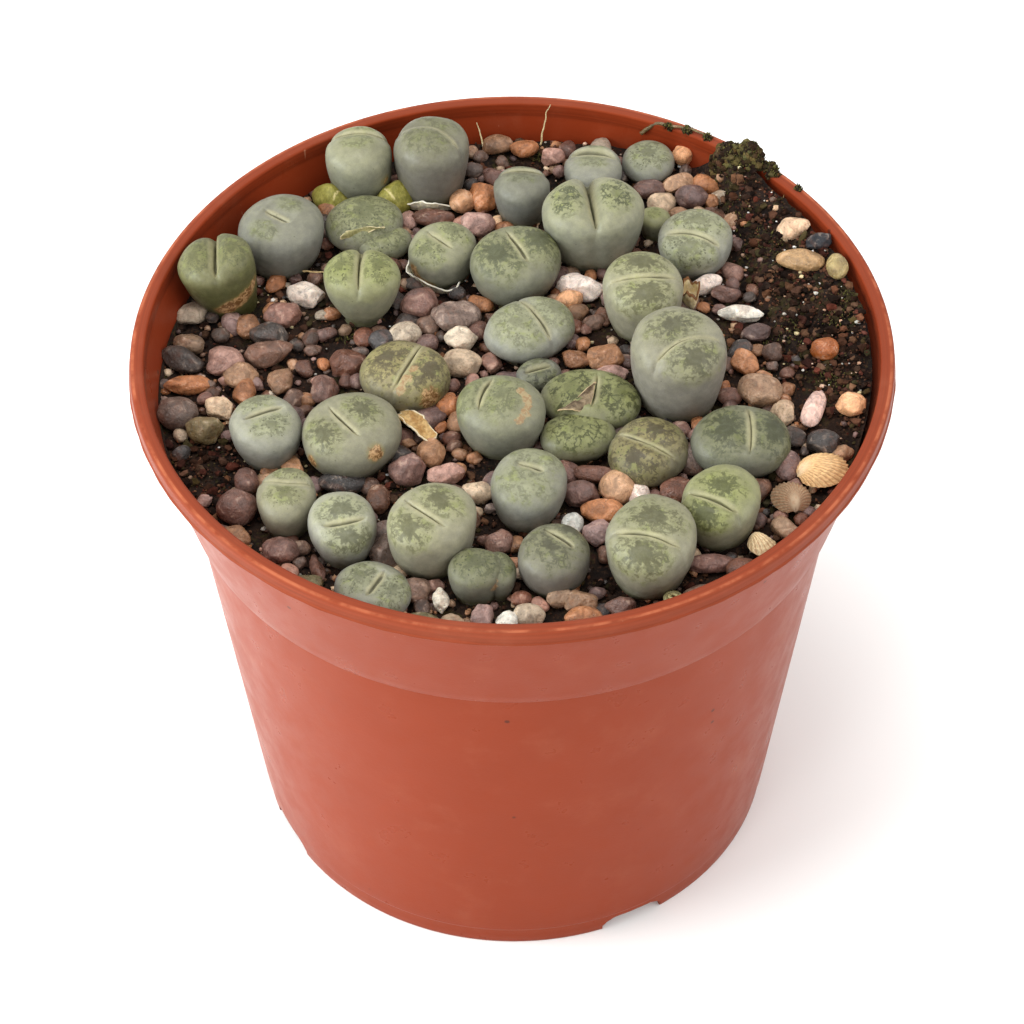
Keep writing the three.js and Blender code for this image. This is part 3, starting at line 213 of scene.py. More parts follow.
# Loose pieces that are nodes of their own: x, y, length, width, height, turn, colour, slot.
LOOSE = {
    "quartz_1": (9.6, 16.2, 7, 3.8, 4, -10, (240, 222, 210), "white_stone"),
    "quartz_2": (32.2, 9.8, 7.1, 2.6, 2.6, -5, (232, 224, 210), "white_stone"),
    "quartz_3": (27.2, 15.9, 5, 2.4, 3.4, 25, (226, 208, 196), "white_stone"),
    "quartz_4": (41, -9.4, 7, 3, 3, 70, (226, 190, 176), "white_stone"),
    "quartz_5": (16.8, -24.4, 4.2, 3.2, 3.6, 95, (236, 214, 200), "white_stone"),
    "quartz_6": (-9.6, -41.8, 4.2, 2.4, 2.6, 95, (238, 226, 206), "white_stone"),
    "quartz_7": (39.8, 24.8, 5.2, 3.7, 3.6, 38, (224, 188, 154), "white_stone"),
    "quartz_8": (-29, 17, 5.8, 3.5, 3.4, -20, (222, 206, 192), "white_stone"),
    "pebble_1": (40.7, 17.7, 7.3, 3.6, 3, -10, (176, 140, 98), "pebble"),
    "pebble_2": (43, 1, 4, 3.6, 3.2, 0, (152, 84, 38), "pebble"),
    "pebble_3": (45.6, 16, 4.6, 3.2, 3, 90, (164, 144, 96), "pebble"),
    "pebble_4": (46, -9.6, 4.3, 3.7, 3, 0, (226, 168, 122), "pebble"),
    "charcoal": (43.2, 21.2, 3.9, 2.8, 2.8, 20, (34, 36, 42), "black_crumb"),
}

# Shells: x, y, length, width, height, turn, ribs, colour.
SHELLS = {
    "shell_1": (41.4, -21.2, 7.2, 6.2, 2.6, 20, 24, (226, 186, 132)),
    "shell_2": (37.0, -26.0, 5.6, 5.4, 2.4, 100, 24, (162, 136, 108)),
    "shell_3": (32.8, -34.5, 4.2, 3.5, 1.9, -40, 12, (220, 196, 152)),
}


# ---- small helpers

FULL_TURN = 2 * math.pi
SEEDS = dict(gravel=4711, small=815, crumbs=977, white=52, loose=600, moss=31)


def seeded(start):
    """The same seeded draw as the solids use, 0 to 1."""
    state = start
    while True:
        state = state * 16807 % 2147483647
        yield state / 2147483647


def pick(draw, choices):
    return choices[int(next(draw) * len(choices))]


def somewhere(draw, reach, x=0.0, y=0.0):
    """A seeded place within reach of (x, y), and how far from it."""
    angle, out = FULL_TURN * next(draw), reach * math.sqrt(next(draw))
    return x + out * math.cos(angle), y + out * math.sin(angle), out


def smooth(low, high, value):
    t = np.clip((np.asarray(value, dtype=float) - low) / (high - low), 0, 1)
    return t * t * (3 - 2 * t)


def bell(value, width):
    return np.exp(-(np.asarray(value, dtype=float) / width) ** 2)


def ground(x):
    return GROUND_AT_CENTRE + GROUND_SLOPE * x


def linear(colour):
    """A colour of 0 to 255 as the display shows it, in the renderer's linear scale."""
    shares = [channel / 255 for channel in colour]
    return [c / 12.92 if c <= 0.04045 else ((c + 0.055) / 1.055) ** 2.4 for c in shares]


def lattice_noise(points, size, seed=0):
    """Smooth random values from -1 to 1 that change over the given size."""
    scaled = np.asarray(points) / size + 31.7 * seed
    cell = np.floor(scaled).astype(np.int64)
    part = scaled - cell
    part = part * part * (3 - 2 * part)
    total = np.zeros(len(scaled))
    for corner in range(8):
        step = np.array([corner & 1, corner >> 1 & 1, corner >> 2 & 1])
        mixed = (cell + step) * np.array([73856093, 19349663, 83492791])
        mixed = mixed[:, 0] ^ mixed[:, 1] ^ mixed[:, 2]
        mixed = (mixed ^ (mixed >> 13)) * 1274126177 & 0x7FFFFFFF
        value = (mixed >> 8 & 0xFFFF) / 32767.5 - 1
        total += value * np.where(step == 1, part, 1 - part).prod(axis=1)
    return total


def turned(points, degrees):
    cosine = math.cos(math.radians(degrees))
    sine = math.sin(math.radians(degrees))
    x, y = points[:, 0], points[:, 1]
    return np.column_stack([cosine * x - sine * y, sine * x + cosine * y, points[:, 2]])


def all_round(count):
    """Evenly spaced angles of a full turn."""
    return np.linspace(0, FULL_TURN, count, endpoint=False)


def ring(angles, reach, z):
    """Points round the axis; the reach and the height may change along them."""
    return np.column_stack([reach * np.cos(angles), reach * np.sin(angles), z + 0 * angles])


def new_object(name, data):
    thing = bpy.data.objects.new(name, data)
    bpy.context.scene.collection.objects.link(thing)
    return thing


def make_mesh(name, points, faces, material, marks=None, soft=True):
    """An object from points and faces in mm, with smooth shading if soft.

    Faces have three corners, or four; four with the last two alike is a triangle.
    marks holds values for the material, by name: one number or three for each point.
    """
    points = np.asarray(points, dtype=float)
    faces = np.asarray(faces, dtype=np.int32)
    used = np.ones(faces.shape, dtype=bool)
    used[:, -1] = faces[:, -1] != faces[:, -2]
    corners = used.sum(axis=1)
    mesh = bpy.data.meshes.new(name)
    mesh.vertices.add(len(points))
    mesh.vertices.foreach_set("co", (points * MM).ravel())
    mesh.loops.add(int(corners.sum()))
    mesh.loops.foreach_set("vertex_index", faces[used])
    mesh.polygons.add(len(faces))
    mesh.polygons.foreach_set("loop_start", np.cumsum(corners, dtype=np.int32) - corners)
    mesh.polygons.foreach_set("use_smooth", np.full(len(faces), soft))
    mesh.update(calc_edges=True)
    for mark, values in (marks or {}).items():
        values = np.asarray(values, dtype=np.float32)
        kind, key = ("FLOAT", "value") if values.ndim == 1 else ("FLOAT_VECTOR", "vector")
        mesh.attributes.new(mark, kind, "POINT").data.foreach_set(key, values.ravel())
    mesh.materials.append(material)
    return new_object(name, mesh)


def normals_of(points, faces):
    """Point normals of a mesh of three- or four-sided faces."""
    first, second, third = (points[faces[:, i]] for i in range(3))
    flat = np.cross(second - first, third - first)
    if faces.shape[1] == 4:
        flat = flat + np.cross(third - first, points[faces[:, 3]] - first)
    total = np.zeros_like(points)
    for corner in range(faces.shape[1]):
        np.add.at(total, faces[:, corner], flat)
    return total / np.maximum(np.linalg.norm(total, axis=1, keepdims=True), 1e-12)


def roughened(points, faces, layers, seed=0):
    """Points pushed along their normals by noise: layers of (depth, size) in mm."""
    push = sum(depth * lattice_noise(points, size, seed + i) for i, (depth, size) in enumerate(layers))
    return points + normals_of(points, faces) * push[:, None]


def grid_faces(rows, columns, closed=False):
    """Four-sided faces between rows of points; closed joins each row's end to its start."""
    across = columns if closed else columns - 1
    row, column = np.meshgrid(np.arange(rows - 1), np.arange(across), indexing="ij")
    after = (column + 1) % columns
    corners = [row * columns + column, row * columns + after,
               (row + 1) * columns + after, (row + 1) * columns + column]
    return np.stack([corner.ravel() for corner in corners], axis=1)


def fan(edge, tip, flip=False):
    """Three-cornered faces from a closed row of points to one point."""
    pair = [edge, np.roll(edge, -1)]
    peak = np.full(len(edge), tip)
    return np.column_stack([*(pair[::-1] if flip else pair), peak, peak])


def border(rows, columns):
    """The outer points of a grid of points, in order round it."""
    return np.concatenate([np.arange(columns), np.arange(1, rows) * columns + columns - 1,
                           (rows - 1) * columns + np.arange(columns - 2, -1, -1),
                           np.arange(rows - 2, 0, -1) * columns])


def capped(rings, rows, columns, first, last):
    """Points and faces of a closed body: rows of ring points, and a point at either end."""
    count, here = rows * columns, np.arange(columns)
    faces = [grid_faces(rows, columns, True), fan(here, count, True),
             fan(count - columns + here, count + 1)]
    return np.concatenate([rings, [first], [last]]), np.concatenate(faces)


def ball(steps):
    """Points and three-sided faces of a round ball of radius 1."""
    shape = bmesh.new()
    bmesh.ops.create_icosphere(shape, subdivisions=steps, radius=1)
    points = np.array([vertex.co[:] for vertex in shape.verts])
    faces = np.array([[vertex.index for vertex in face.verts] for face in shape.faces])
    shape.free()
    return points, faces


BALLS = {steps: ball(steps) for steps in (1, 2, 3, 4, 5)}


class Heap:
    """Small bodies gathered into one mesh, each with its own tint."""

    def __init__(self):
        self.points, self.faces, self.tints = [], [], []
        self.count = 0

    def add(self, points, faces, tint):
        self.points.append(points)
        self.faces.append(np.asarray(faces) + self.count)
        self.tints.append(np.tile(linear(tint), (len(points), 1)))
        self.count += len(points)

    def keep(self, name, material, slot, *nodes, soft=True):
        points, faces = np.concatenate(self.points), np.concatenate(self.faces)
        marks = {"tint": np.concatenate(self.tints)}
        add_piece(name, points, faces, material, marks, slot, *nodes, soft=soft)


def keep(piece, slot, *nodes):
    """A piece of the object: it rides on the root and stands for the named solids."""
    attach(piece, "root")
    if nodes:
        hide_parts(*nodes)


def add_piece(name, points, faces, material, marks, slot, *nodes, soft=True, clean=False):
    piece = make_mesh(name, points, faces, material, marks, soft)
    if clean:
        tidy(piece)
    keep(piece, slot, *nodes)


def tidy(piece):
    """Merge what lies on one point and drop faces with no area."""
    shape = bmesh.new()
    shape.from_mesh(piece.data)
    bmesh.ops.remove_doubles(shape, verts=shape.verts, dist=1e-7)
    bmesh.ops.dissolve_degenerate(shape, edges=shape.edges, dist=1e-7)
    bmesh.ops.recalc_face_normals(shape, faces=shape.faces)
    shape.to_mesh(piece.data)
    shape.free()


# ---- shader nodes

class Shader:
    """A material whose node calls each give the new node's output."""

    def __init__(self, name, roughness=0.6, specular=0.5):
        self.material = bpy.data.materials.new(name)
        self.material.use_nodes = True
        self.tree = self.material.node_tree
        self.surface = self.tree.nodes["Principled BSDF"]
        self.fill(self.surface, {"Roughness": roughness, "Specular IOR Level": specular})
        self.place = self.scaled(self.node("TexCoord").outputs["Object"], 1 / MM)

    def put(self, value, socket):
        if isinstance(value, bpy.types.NodeSocket):
            self.tree.links.new(value, socket)
        elif isinstance(value, tuple) and socket.type == "RGBA":
            socket.default_value = (*linear(value), 1)
        else:
            socket.default_value = value

    def fill(self, node, values):
        """Values for a node's sockets, in their order or by name."""
        for key, value in values.items() if isinstance(values, dict) else enumerate(values):
            self.put(value, node.inputs[key])

    def node(self, kind, values=(), **settings):
        node = self.tree.nodes.new(f"ShaderNode{kind}")
        for setting, value in settings.items():
            setattr(node, setting, value)
        self.fill(node, values)
        return node

    def mark(self, name, output="Fac"):
        return self.node("Attribute", attribute_name=name).outputs[output]

    def noise(self, size, detail=2, rough=0.5, swirl=0, at=None):
        values = {"Vector": at or self.place, "Scale": 1 / size, "Detail": detail,
                  "Roughness": rough, "Distortion": swirl}
        return self.node("TexNoise", values).outputs["Fac"]

    def cells(self, size, feature="F1", at=None):
        values = {"Vector": at or self.place, "Scale": 1 / size}
        return self.node("TexVoronoi", values, feature=feature).outputs["Distance"]

    def maths(self, kind, *values):
        return self.node("Math", values, operation=kind).outputs[0]

    def times(self, first, second):
        return self.maths("MULTIPLY", first, second)

    def plus(self, first, second):
        return self.maths("ADD", first, second)

    def minus(self, first, second):
        return self.maths("SUBTRACT", first, second)

    def vector(self, kind, *values):
        node = self.node("VectorMath", values, operation=kind)
        return node.outputs["Value" if kind == "LENGTH" else "Vector"]

    def band(self, value, low, high, to_low=0.0, to_high=1.0):
        """The value from low to high, eased in and out and carried over to another range."""
        values = (value, low, high, to_low, to_high)
        return self.node("MapRange", values, interpolation_type="SMOOTHSTEP").outputs[0]

    def mix(self, share, first, second):
        node = self.node("Mix", data_type="RGBA")
        sockets = [socket for socket in node.inputs if socket.type == "RGBA"]
        for value, socket in zip((share, first, second), (node.inputs["Factor"], *sockets)):
            self.put(value, socket)
        return next(socket for socket in node.outputs if socket.type == "RGBA")

    def scaled(self, value, share):
        """A colour or vector made larger or smaller by a share that may vary."""
        return self.node("VectorMath", {0: value, "Scale": share}, operation="SCALE").outputs[0]

    def joined(self, *values):
        return self.node("CombineXYZ", values).outputs[0]

    def parts(self, value):
        return self.node("SeparateXYZ", (value,)).outputs

    def translucent(self, share, reach, depth):
        """Light that enters the surface, with its reach in mm for red, green and blue."""
        self.fill(self.surface, {"Subsurface Weight": share, "Subsurface Radius": reach,
                                 "Subsurface Scale": depth * MM})

    def bump(self, height, depth):
        node = self.node("Bump", {"Strength": 1, "Distance": depth * MM, "Height": height})
        self.put(node.outputs[0], self.surface.inputs["Normal"])

    def finish(self, colour, roughness=None):
        self.put(colour, self.surface.inputs["Base Color"])
        if roughness is not None:
            self.put(roughness, self.surface.inputs["Roughness"])
        return self.material


# ---- plant skin

# Marks: how strongly islands, veins and dots show, the teeth round an island, how ragged it
# is, and how solid its middle is.
MARKS = {
    "faint": dict(islands=0.4, veins=0.5, dots=0.6, teeth=2.2, ragged=1.2, solid=0.0),
    "feather": dict(islands=0.9, veins=0.75, dots=0.6, teeth=2.8, ragged=1.1, solid=0.4),
    "dots": dict(islands=0.6, veins=0.6, dots=0.9, teeth=3.0, ragged=1.4, solid=0.15),
    "mottled": dict(islands=0.85, veins=0.7, dots=0.8, teeth=2.2, ragged=2.4, solid=0.1),
    "veins": dict(islands=0.5, veins=1.0, dots=0.5, teeth=1.7, ragged=1.0, solid=0.15),
    "thin": dict(islands=0.12, veins=0.5, dots=0.25, teeth=1.7, ragged=1.2, solid=0.0),
}


def skin_material(name, skin, marks, reach, tone):
    """Skin whose colours are lightened or darkened by the plant's own tone."""
    top, side, island = (tuple(tone * c for c in colour) for colour in SKINS[skin])
    pattern = MARKS[marks]
    s = Shader(name, 0.5, 0.35)
    lobe, level, slit = s.mark("lobe", "Vector"), s.mark("level"), s.mark("slit")

    # The middle of each lobe is an island, drawn out into teeth; fine veins run out of it.
    wander = s.noise(1.0, 3, 0.6, 0.4)
    out = s.maths("DIVIDE", s.vector("LENGTH", lobe), reach)
    ring = s.scaled(s.vector("NORMALIZE", lobe), pattern["teeth"])
    fan = s.vector("ADD", ring, s.joined(0, 0, s.times(out, 1.3)))
    shake = s.joined(wander, s.noise(0.7, 2), s.noise(0.9, 2, 0.6))
    fan = s.vector("ADD", fan, s.scaled(shake, 1.3))
    teeth = s.cells(1, at=fan)
    loose = s.vector("ADD", s.place, s.scaled(shake, 0.8))
    dots = s.cells(0.55, at=loose)
    ragged = s.times(s.minus(wander, 0.5), pattern["ragged"])
    field = s.plus(s.minus(1.0, out), ragged)
    outer = s.band(out, 0.05, 0.6)
    teeth = s.times(s.times(teeth, 1.1), outer)
    broken = s.minus(s.plus(field, pattern["solid"]), teeth)
    broken = s.minus(broken, s.times(dots, 0.45))
    islands = s.band(broken, -0.14, 0.3, 0, pattern["islands"])
    thread = s.plus(s.cells(0.75, "DISTANCE_TO_EDGE", at=fan), s.band(out, 0.45, 0.1, 0, 0.5))
    thread = s.maths("MINIMUM", thread, s.cells(1.25, "DISTANCE_TO_EDGE", at=loose))
    veins = s.times(s.band(thread, 0.14, 0.04, 0, pattern["veins"]),
                    s.times(s.band(field, -0.4, 0.15), s.band(s.noise(1.0, 2), 0.42, 0.55)))
    reach_of_dots = s.plus(s.times(s.maths("MINIMUM", field, 0.2), 0.32), 0.3)
    spots = s.band(s.minus(reach_of_dots, dots), 0.0, 0.16, 0, pattern["dots"])
    marked = s.maths("MAXIMUM", s.maths("MAXIMUM", islands, spots), veins)
    marked = s.times(marked, s.band(slit, 0.3, 0.85))

    # The skin under them: greener round the marks, greyer on the sides, olive at the foot.
    patchy = s.noise(2.6, 3, 0.55)
    topness = s.band(s.plus(level, s.times(patchy, 0.35)), 0.7, 1.15)
    colour = s.mix(topness, side, top)
    greener = tuple(c * f for c, f in zip(top, (0.98, 1.0, 0.87)))
    near = s.band(field, -0.7, 0.3, 0.0, 0.7)
    colour = s.mix(near, colour, greener)
    fresh = s.band(s.noise(1.7, 3, 0.6, 0.5), 0.5, 0.68)
    fresh = s.times(fresh, s.band(field, -0.6, 0.2, 0, 0.55))
    colour = s.mix(fresh, colour, tuple(tone * c for c in FRESH_COLOUR))
    cloudy = s.band(s.noise(0.9, 3, 0.6, 0.6), 0.42, 0.66, 0, 0.7)
    inside = s.mix(cloudy, island, tuple(c + d for c, d in zip(island, (15, 16, 18))))
    colour = s.mix(marked, colour, inside)
    colour = s.mix(s.band(slit, 1.0, 0.3, 0.0, 0.55), colour, LIP_COLOUR)
    # Painted shade: the crease of the slit is darkened towards the island colour.
    colour = s.mix(s.band(slit, 0.22, 0.06, 0.0, 0.6), colour, tuple(0.8 * c for c in island))
    foot = s.band(s.plus(level, s.times(patchy, 0.4)), 0.42, 0.1, 0.0, 0.6)
    colour = s.mix(foot, colour, FOOT_COLOUR)

    # Soft clouding, fine grain, a few tiny dark specks, and scars.
    colour = s.scaled(colour, s.band(s.noise(1.3, 4, 0.6), 0.25, 0.75, 0.86, 1.13))
    colour = s.scaled(colour, s.band(s.noise(0.16, 1), 0.2, 0.8, 0.94, 1.06))
    specks = s.band(s.cells(1.9), 0.08, 0.04, 0, 0.45)
    colour = s.mix(specks, colour, (66, 66, 44))
    worn = s.times(s.minus(s.noise(0.8, 4, 0.65), 0.5), 1.3)
    scar, patches = s.mark("scar"), s.band(s.noise(0.7, 3, 0.6, 1.0), 0.42, 0.6)
    colour = s.mix(s.band(scar, 0.1, 0.7, 0, 0.5), colour, (138, 124, 66))
    brown = s.band(s.plus(scar, worn), 0.4, 0.75)
    colour = s.mix(brown, colour, s.mix(patches, (112, 78, 42), (186, 150, 106)))
    pale = s.band(s.minus(worn, scar), 0.35, 0.65, 0, 0.85)
    colour = s.mix(pale, colour, s.mix(patches, (146, 114, 80), (160, 142, 106)))

    relief = s.plus(s.times(s.noise(0.22, 3, 0.6), 0.35), s.noise(1.1, 2))
    relief = s.minus(relief, s.times(marked, 0.35))
    s.bump(relief, 0.07)
    s.translucent(0.1, (1.0, 1.1, 0.5), 0.6)
    return s.finish(colour, s.band(s.noise(0.8, 2), 0.3, 0.7, 0.4, 0.54))


# ---- plant bodies

SLIT_WIDTH = 0.14
SLIT_DEPTH = 0.4
SIDE_COLUMNS = 61
SIDE_ROWS = 51
WAIST = 0.8
MORE_SEED = 70

# Damaged skin: x, y, z and radius in mm; a negative radius is a pale, peeled patch.
SCARS = (
    (-40.4, 13.4, 79.8, 1.6), (-38.6, 13.0, 80.8, 1.9), (-36.6, 13.8, 82.0, 1.8),
    (-35.4, 15.0, 83.4, 1.2), (1.1, -10.9, 87.3, -0.8), (1.9, -11.9, 87.1, -0.85),
    (2.1, -13.1, 86.9, -0.85), (1.7, -14.4, 86.6, -0.85), (0.8, -15.5, 86.4, -0.8),
    (-13.5, -3.8, 85.1, -0.9), (-14.4, -5.6, 84.7, -1.0), (-15.2, -7.0, 83.9, -0.9),
    (-11.2, -7.2, 82.4, 2.0), (-27.0, -18.1, 81.4, 1.3), (-18.4, -18.5, 83.4, 1.5),
    (-13.7, 18.5, 82.2, 1.2), (-13.1, 18.4, 80.4, 1.5), (-11.7, 17.7, 79.9, 1.3),
    (-17.3, 36.0, 82.7, 1.5), (-2.7, 10.4, 83.2, -0.8), (-2.7, -41.0, 82.2, -1.2),
)


def plant_matrix(x, y, turn, lean, to):
    """From a plant's own frame (x across the slit, y along it) to the pot's, in mm."""
    axis = Vector((-math.sin(math.radians(to)), math.cos(math.radians(to)), 0))
    place = Matrix.Translation((x, y, ground(x)))
    tilt = Matrix.Rotation(math.radians(lean), 4, axis)
    return place @ tilt @ Matrix.Rotation(math.radians(turn - 90), 4, "Z")


def plant_body(row, seed):
    """Points, faces and marks of one body, from its table row."""
    x, y, across, along, tall, turn, _, _, _, own = row
    cleft, off, bow = own.get("cleft", 0), own.get("off", 0), own.get("bow", 0)
    long, step, waist = own.get("long", 1.2), own.get("step", 0), own.get("waist", WAIST)
    plain = own.get("plain", False)
    cap = CAP_SHARE * min(tall, along)
    widest = tall - cap

    # Top patch: a square of s (across) and t (along), both -1 to 1, closer together at the slit.
    even = np.linspace(-1, 1, SIDE_COLUMNS)
    s_line = np.sign(even) * np.abs(even) ** 1.5
    t_line = np.linspace(-1, 1, SIDE_ROWS)
    s, t = (part.ravel() for part in np.meshgrid(s_line, t_line))
    aside = np.clip((off + bow * (1 - 2 * t * t) / across) / PATCH, -0.85, 0.85)
    moved = (s + aside) / (1 + aside * s)
    disc_x, disc_y = moved * np.sqrt(1 - t * t / 2), t * np.sqrt(1 - moved ** 2 / 2)
    px, py = across * PATCH * disc_x, along * PATCH * disc_y
    radius = np.minimum(np.hypot(px / across, py / along), 1)
    dome = (1 - radius ** DOME_POWER) ** (1 / DOME_POWER)
    gap = px - across * PATCH * aside * np.sqrt(1 - t * t / 2)
    ends = np.clip(1 - (np.abs(t) / long) ** 4, 0, 1) * (not plain)
    opened = cleft * (CLEFT_IN_FRONT + (1 - CLEFT_IN_FRONT) * (1 - t) / 2)
    crease = SLIT_DEPTH * (1 + opened) * bell(gap, SLIT_WIDTH * (1 + 0.35 * opened)) * ends
    lips = 0.08 * bell(np.abs(gap) - 0.5, 0.3) * ends
    dip = SADDLE_DEPTH * ends * bell(s, 0.36) + opened * (0.9 * bell(s, 0.34) + 1.4 * bell(s, 0.13))
    higher = step * 0.5 * np.tanh(gap / 0.4) * ends * bell(s, 0.8)
    top = np.column_stack([px, py, widest + cap * dome - dip - crease + lips + higher])

    # Rings below it: down the dome's shoulder, the side and the root.
    columns, rows = SIDE_COLUMNS, SIDE_ROWS
    edge = border(rows, columns)
    angle = np.arctan2(disc_y[edge], disc_x[edge])
    fold = dip[edge]
    pinch = bell(s[edge], 0.22) * (np.abs(t[edge]) > 0.7) * opened[edge]
    groove = 0.55 / along * bell(gap[edge], 0.3) * ends[edge] * (np.abs(t[edge]) > 0.7)
    shoulder = math.acos(PATCH ** (DOME_POWER / 2))
    rings = []
    for share in np.linspace(1, 0, 8)[1:]:
        phi = shoulder * share
        reach = math.cos(phi) ** (2 / DOME_POWER)
        height = widest + cap * math.sin(phi) ** (2 / DOME_POWER)
        inward = 1 - 0.12 * pinch * (1 - share) - groove * (1 - share) * 4 * share
        rings.append((reach * inward, height - fold * share))
    for share in np.linspace(0, 1, 13)[1:]:
        reach = 1 - (1 - waist) * share ** 1.8
        rings.append((reach * (1 - 0.12 * pinch), widest * (1 - share) + 0 * fold))
    for share in (0.4, 0.8, 1.0):
        reach = waist + (ROOT_SHARE - waist) * share
        rings.append((reach + 0 * fold, -ROOT_DEPTH * share + 0 * fold))
    side = [np.column_stack([across * r * np.cos(angle), along * r * np.sin(angle), z])
            for r, z in rings]
    tip = np.array([[0, 0, -ROOT_DEPTH]])
    points = np.concatenate([top, *side, tip])

    # Faces: the patch, the first ring on its edge, ring to ring, and the root's tip.
    count, start = len(edge), len(top)
    faces = [grid_faces(rows, columns)]
    after = np.roll(np.arange(count), -1)
    first = start + np.arange(count)
    faces.append(np.column_stack([edge, first, start + after, edge[after]]))
    faces.append(start + grid_faces(len(side), count, True)[:, ::-1])
    last = start + (len(side) - 1) * count
    faces.append(fan(last + np.arange(count), len(points) - 1, True))
    faces = np.concatenate(faces)

    # Marks for the skin: place on the lobe, level above the ground, distance from the slit.
    sides = np.concatenate([s, *[s[edge]] * len(side), [1]]) >= 0
    slit_place = PATCH * float(np.clip((off + bow / across) / PATCH, -0.85, 0.85))
    centres = []
    for way in (-1, 1):
        cx = slit_place + way * (0.5 + 0.5 * slit_place * way) * (1 - way * slit_place)
        cx = 0 if plain else cx
        centres.append([cx * across, 0, widest + cap * (1 - abs(cx) ** DOME_POWER) ** (1 / DOME_POWER)])
    lobe_size = 0.42 * (across + along)
    if not plain:
        # Marks are drawn out along the slit.
        lobe_size *= np.array([0.6, 0.84, 0.7])
    lobes = (points - np.array(centres)[sides.astype(int)]) / lobe_size
    slit = np.abs(gap) + 1.4 * (1 - ends) ** 1.5 - 0.15 * opened
    slits = [slit] + [slit[edge] + more for more in np.linspace(0.1, 9, len(side))]
    slits = np.concatenate([*slits, [9]])
    body = plant_matrix(x, y, turn, own.get("lean", 0), own.get("to", 0))
    level = np.clip(points[:, 2] / tall, 0, 1)
    homogeneous = np.column_stack([points, np.ones(len(points))])
    placed = (homogeneous @ np.array(body).T)[:, :3]
    placed = roughened(placed, faces[:len(faces) - count], [(0.16, 3.4), (0.05, 1.3)], seed)
    marks = {"lobe": lobes, "level": level, "slit": slits, "scar": scar_marks(placed)}
    return placed, faces, marks


def scar_marks(points):
    """1 in the middle of a brown scar, -1 in a pale one, 0 away from both."""
    total = np.zeros(len(points))
    for *centre, radius in SCARS:
        away = np.linalg.norm(points - np.array(centre), axis=1) / abs(radius)
        total += math.copysign(1, radius) * np.clip(1.3 - away, 0, 1)
    return np.clip(total, -1, 1)


def make_plants():
    for number, row in enumerate(PLANTS, start=1):
        name = f"lithops_{number:02d}"
        material = skin_material(f"skin_{number:02d}", *row[6:9], row[9].get("tone", 1))
        points, faces, marks = plant_body(row, number)
        if number in MORE:
            more, more_faces, more_marks = plant_body(MORE[number], MORE_SEED)
            faces = np.concatenate([faces, more_faces + len(points)])
            points = np.concatenate([points, more])
            marks = {key: np.concatenate([marks[key], more_marks[key]]) for key in marks}
        add_piece(f"{name}_skin", points, faces, material, marks, "lithops_skin", name, clean=True)

# ---- pot

POT_SECTORS = 288


def rounded(profile, radius, steps=3):
    """A closed outline of (r, z) points with each corner of positive radius rounded."""
    result = []
    for i, (point, size) in enumerate(profile):
        before = np.array(profile[i - 1][0])
        after = np.array(profile[(i + 1) % len(profile)][0])
        here = np.array(point)
        reach = size * radius
        if reach == 0:
            result.append(here)
            continue
        start = here + (before - here) / np.linalg.norm(before - here) * reach
        end = here + (after - here) / np.linalg.norm(after - here) * reach
        for step in np.linspace(0, 1, steps + 1):
            result.append((1 - step) ** 2 * start + 2 * step * (1 - step) * here + step ** 2 * end)
    return np.array(result)


def inner_radius(z):
    """Inside radius of the wall at a height, above or below its bend."""
    bend = STEP_HEIGHT + WALL / 2
    if z > bend:
        share = (z - bend) / (POT_HEIGHT - LIP_HEIGHT - bend)
        low = BAND_FOOT_RADIUS - WALL
        return low + share * (RIM_RADIUS - LIP_WIDTH - low)
    slope = (BAND_FOOT_RADIUS - STEP_WIDTH - FOOT_RADIUS) / STEP_HEIGHT
    return FOOT_RADIUS + slope * z - WALL


def pot_profile():
    """Outline of the pot's wall, clockwise from under the floor; each corner has a rounding."""
    lip_bottom = POT_HEIGHT - LIP_HEIGHT
    ring_inside = FOOT_RADIUS - FOOT_RING_WIDTH
    floor_top = FLOOR_LIFT + FLOOR_THICKNESS
    step_top = BAND_FOOT_RADIUS - STEP_WIDTH
    bend = STEP_HEIGHT + WALL / 2
    foot_line = 3.6
    slope = (step_top - FOOT_RADIUS) / STEP_HEIGHT
    at_line = FOOT_RADIUS + slope * foot_line
    return rounded([
        ((0, FLOOR_LIFT), 0), ((ring_inside, FLOOR_LIFT), 1), ((ring_inside, 0), 1),
        ((FOOT_RADIUS - 0.05, 0), 1.2), ((at_line - 0.12, foot_line - 0.25), 0.3),
        ((at_line + 0.03, foot_line), 0.3), ((step_top, STEP_HEIGHT), 0.5),
        ((BAND_FOOT_RADIUS, STEP_HEIGHT), 0.9), ((BAND_TOP_RADIUS, lip_bottom - 0.1), 0.5),
        ((RIM_RADIUS + 0.12, lip_bottom), 0.35), ((RIM_RADIUS + 0.12, lip_bottom + 0.22), 0.35),
        ((RIM_RADIUS - 0.08, lip_bottom + 0.42), 0.3), ((RIM_RADIUS - 0.12, POT_HEIGHT), 1.8),
        ((RIM_RADIUS - LIP_WIDTH, POT_HEIGHT), 1.4), ((RIM_RADIUS - LIP_WIDTH - 0.1, lip_bottom), 1.5),
        ((BAND_FOOT_RADIUS - WALL, bend + WALL), 1.5), ((step_top - WALL, bend), 1.5),
        ((inner_radius(floor_top), floor_top), 2), ((0, floor_top), 0),
    ], 0.3)


def divided(profile, longest):
    """More points on the outline's long stretches."""
    result = [profile[0]]
    for start, end in zip(profile[:-1], profile[1:]):
        pieces = max(1, math.ceil(np.linalg.norm(end - start) / longest))
        result += [start + (end - start) * i / pieces for i in range(1, pieces + 1)]
    return np.array(result)


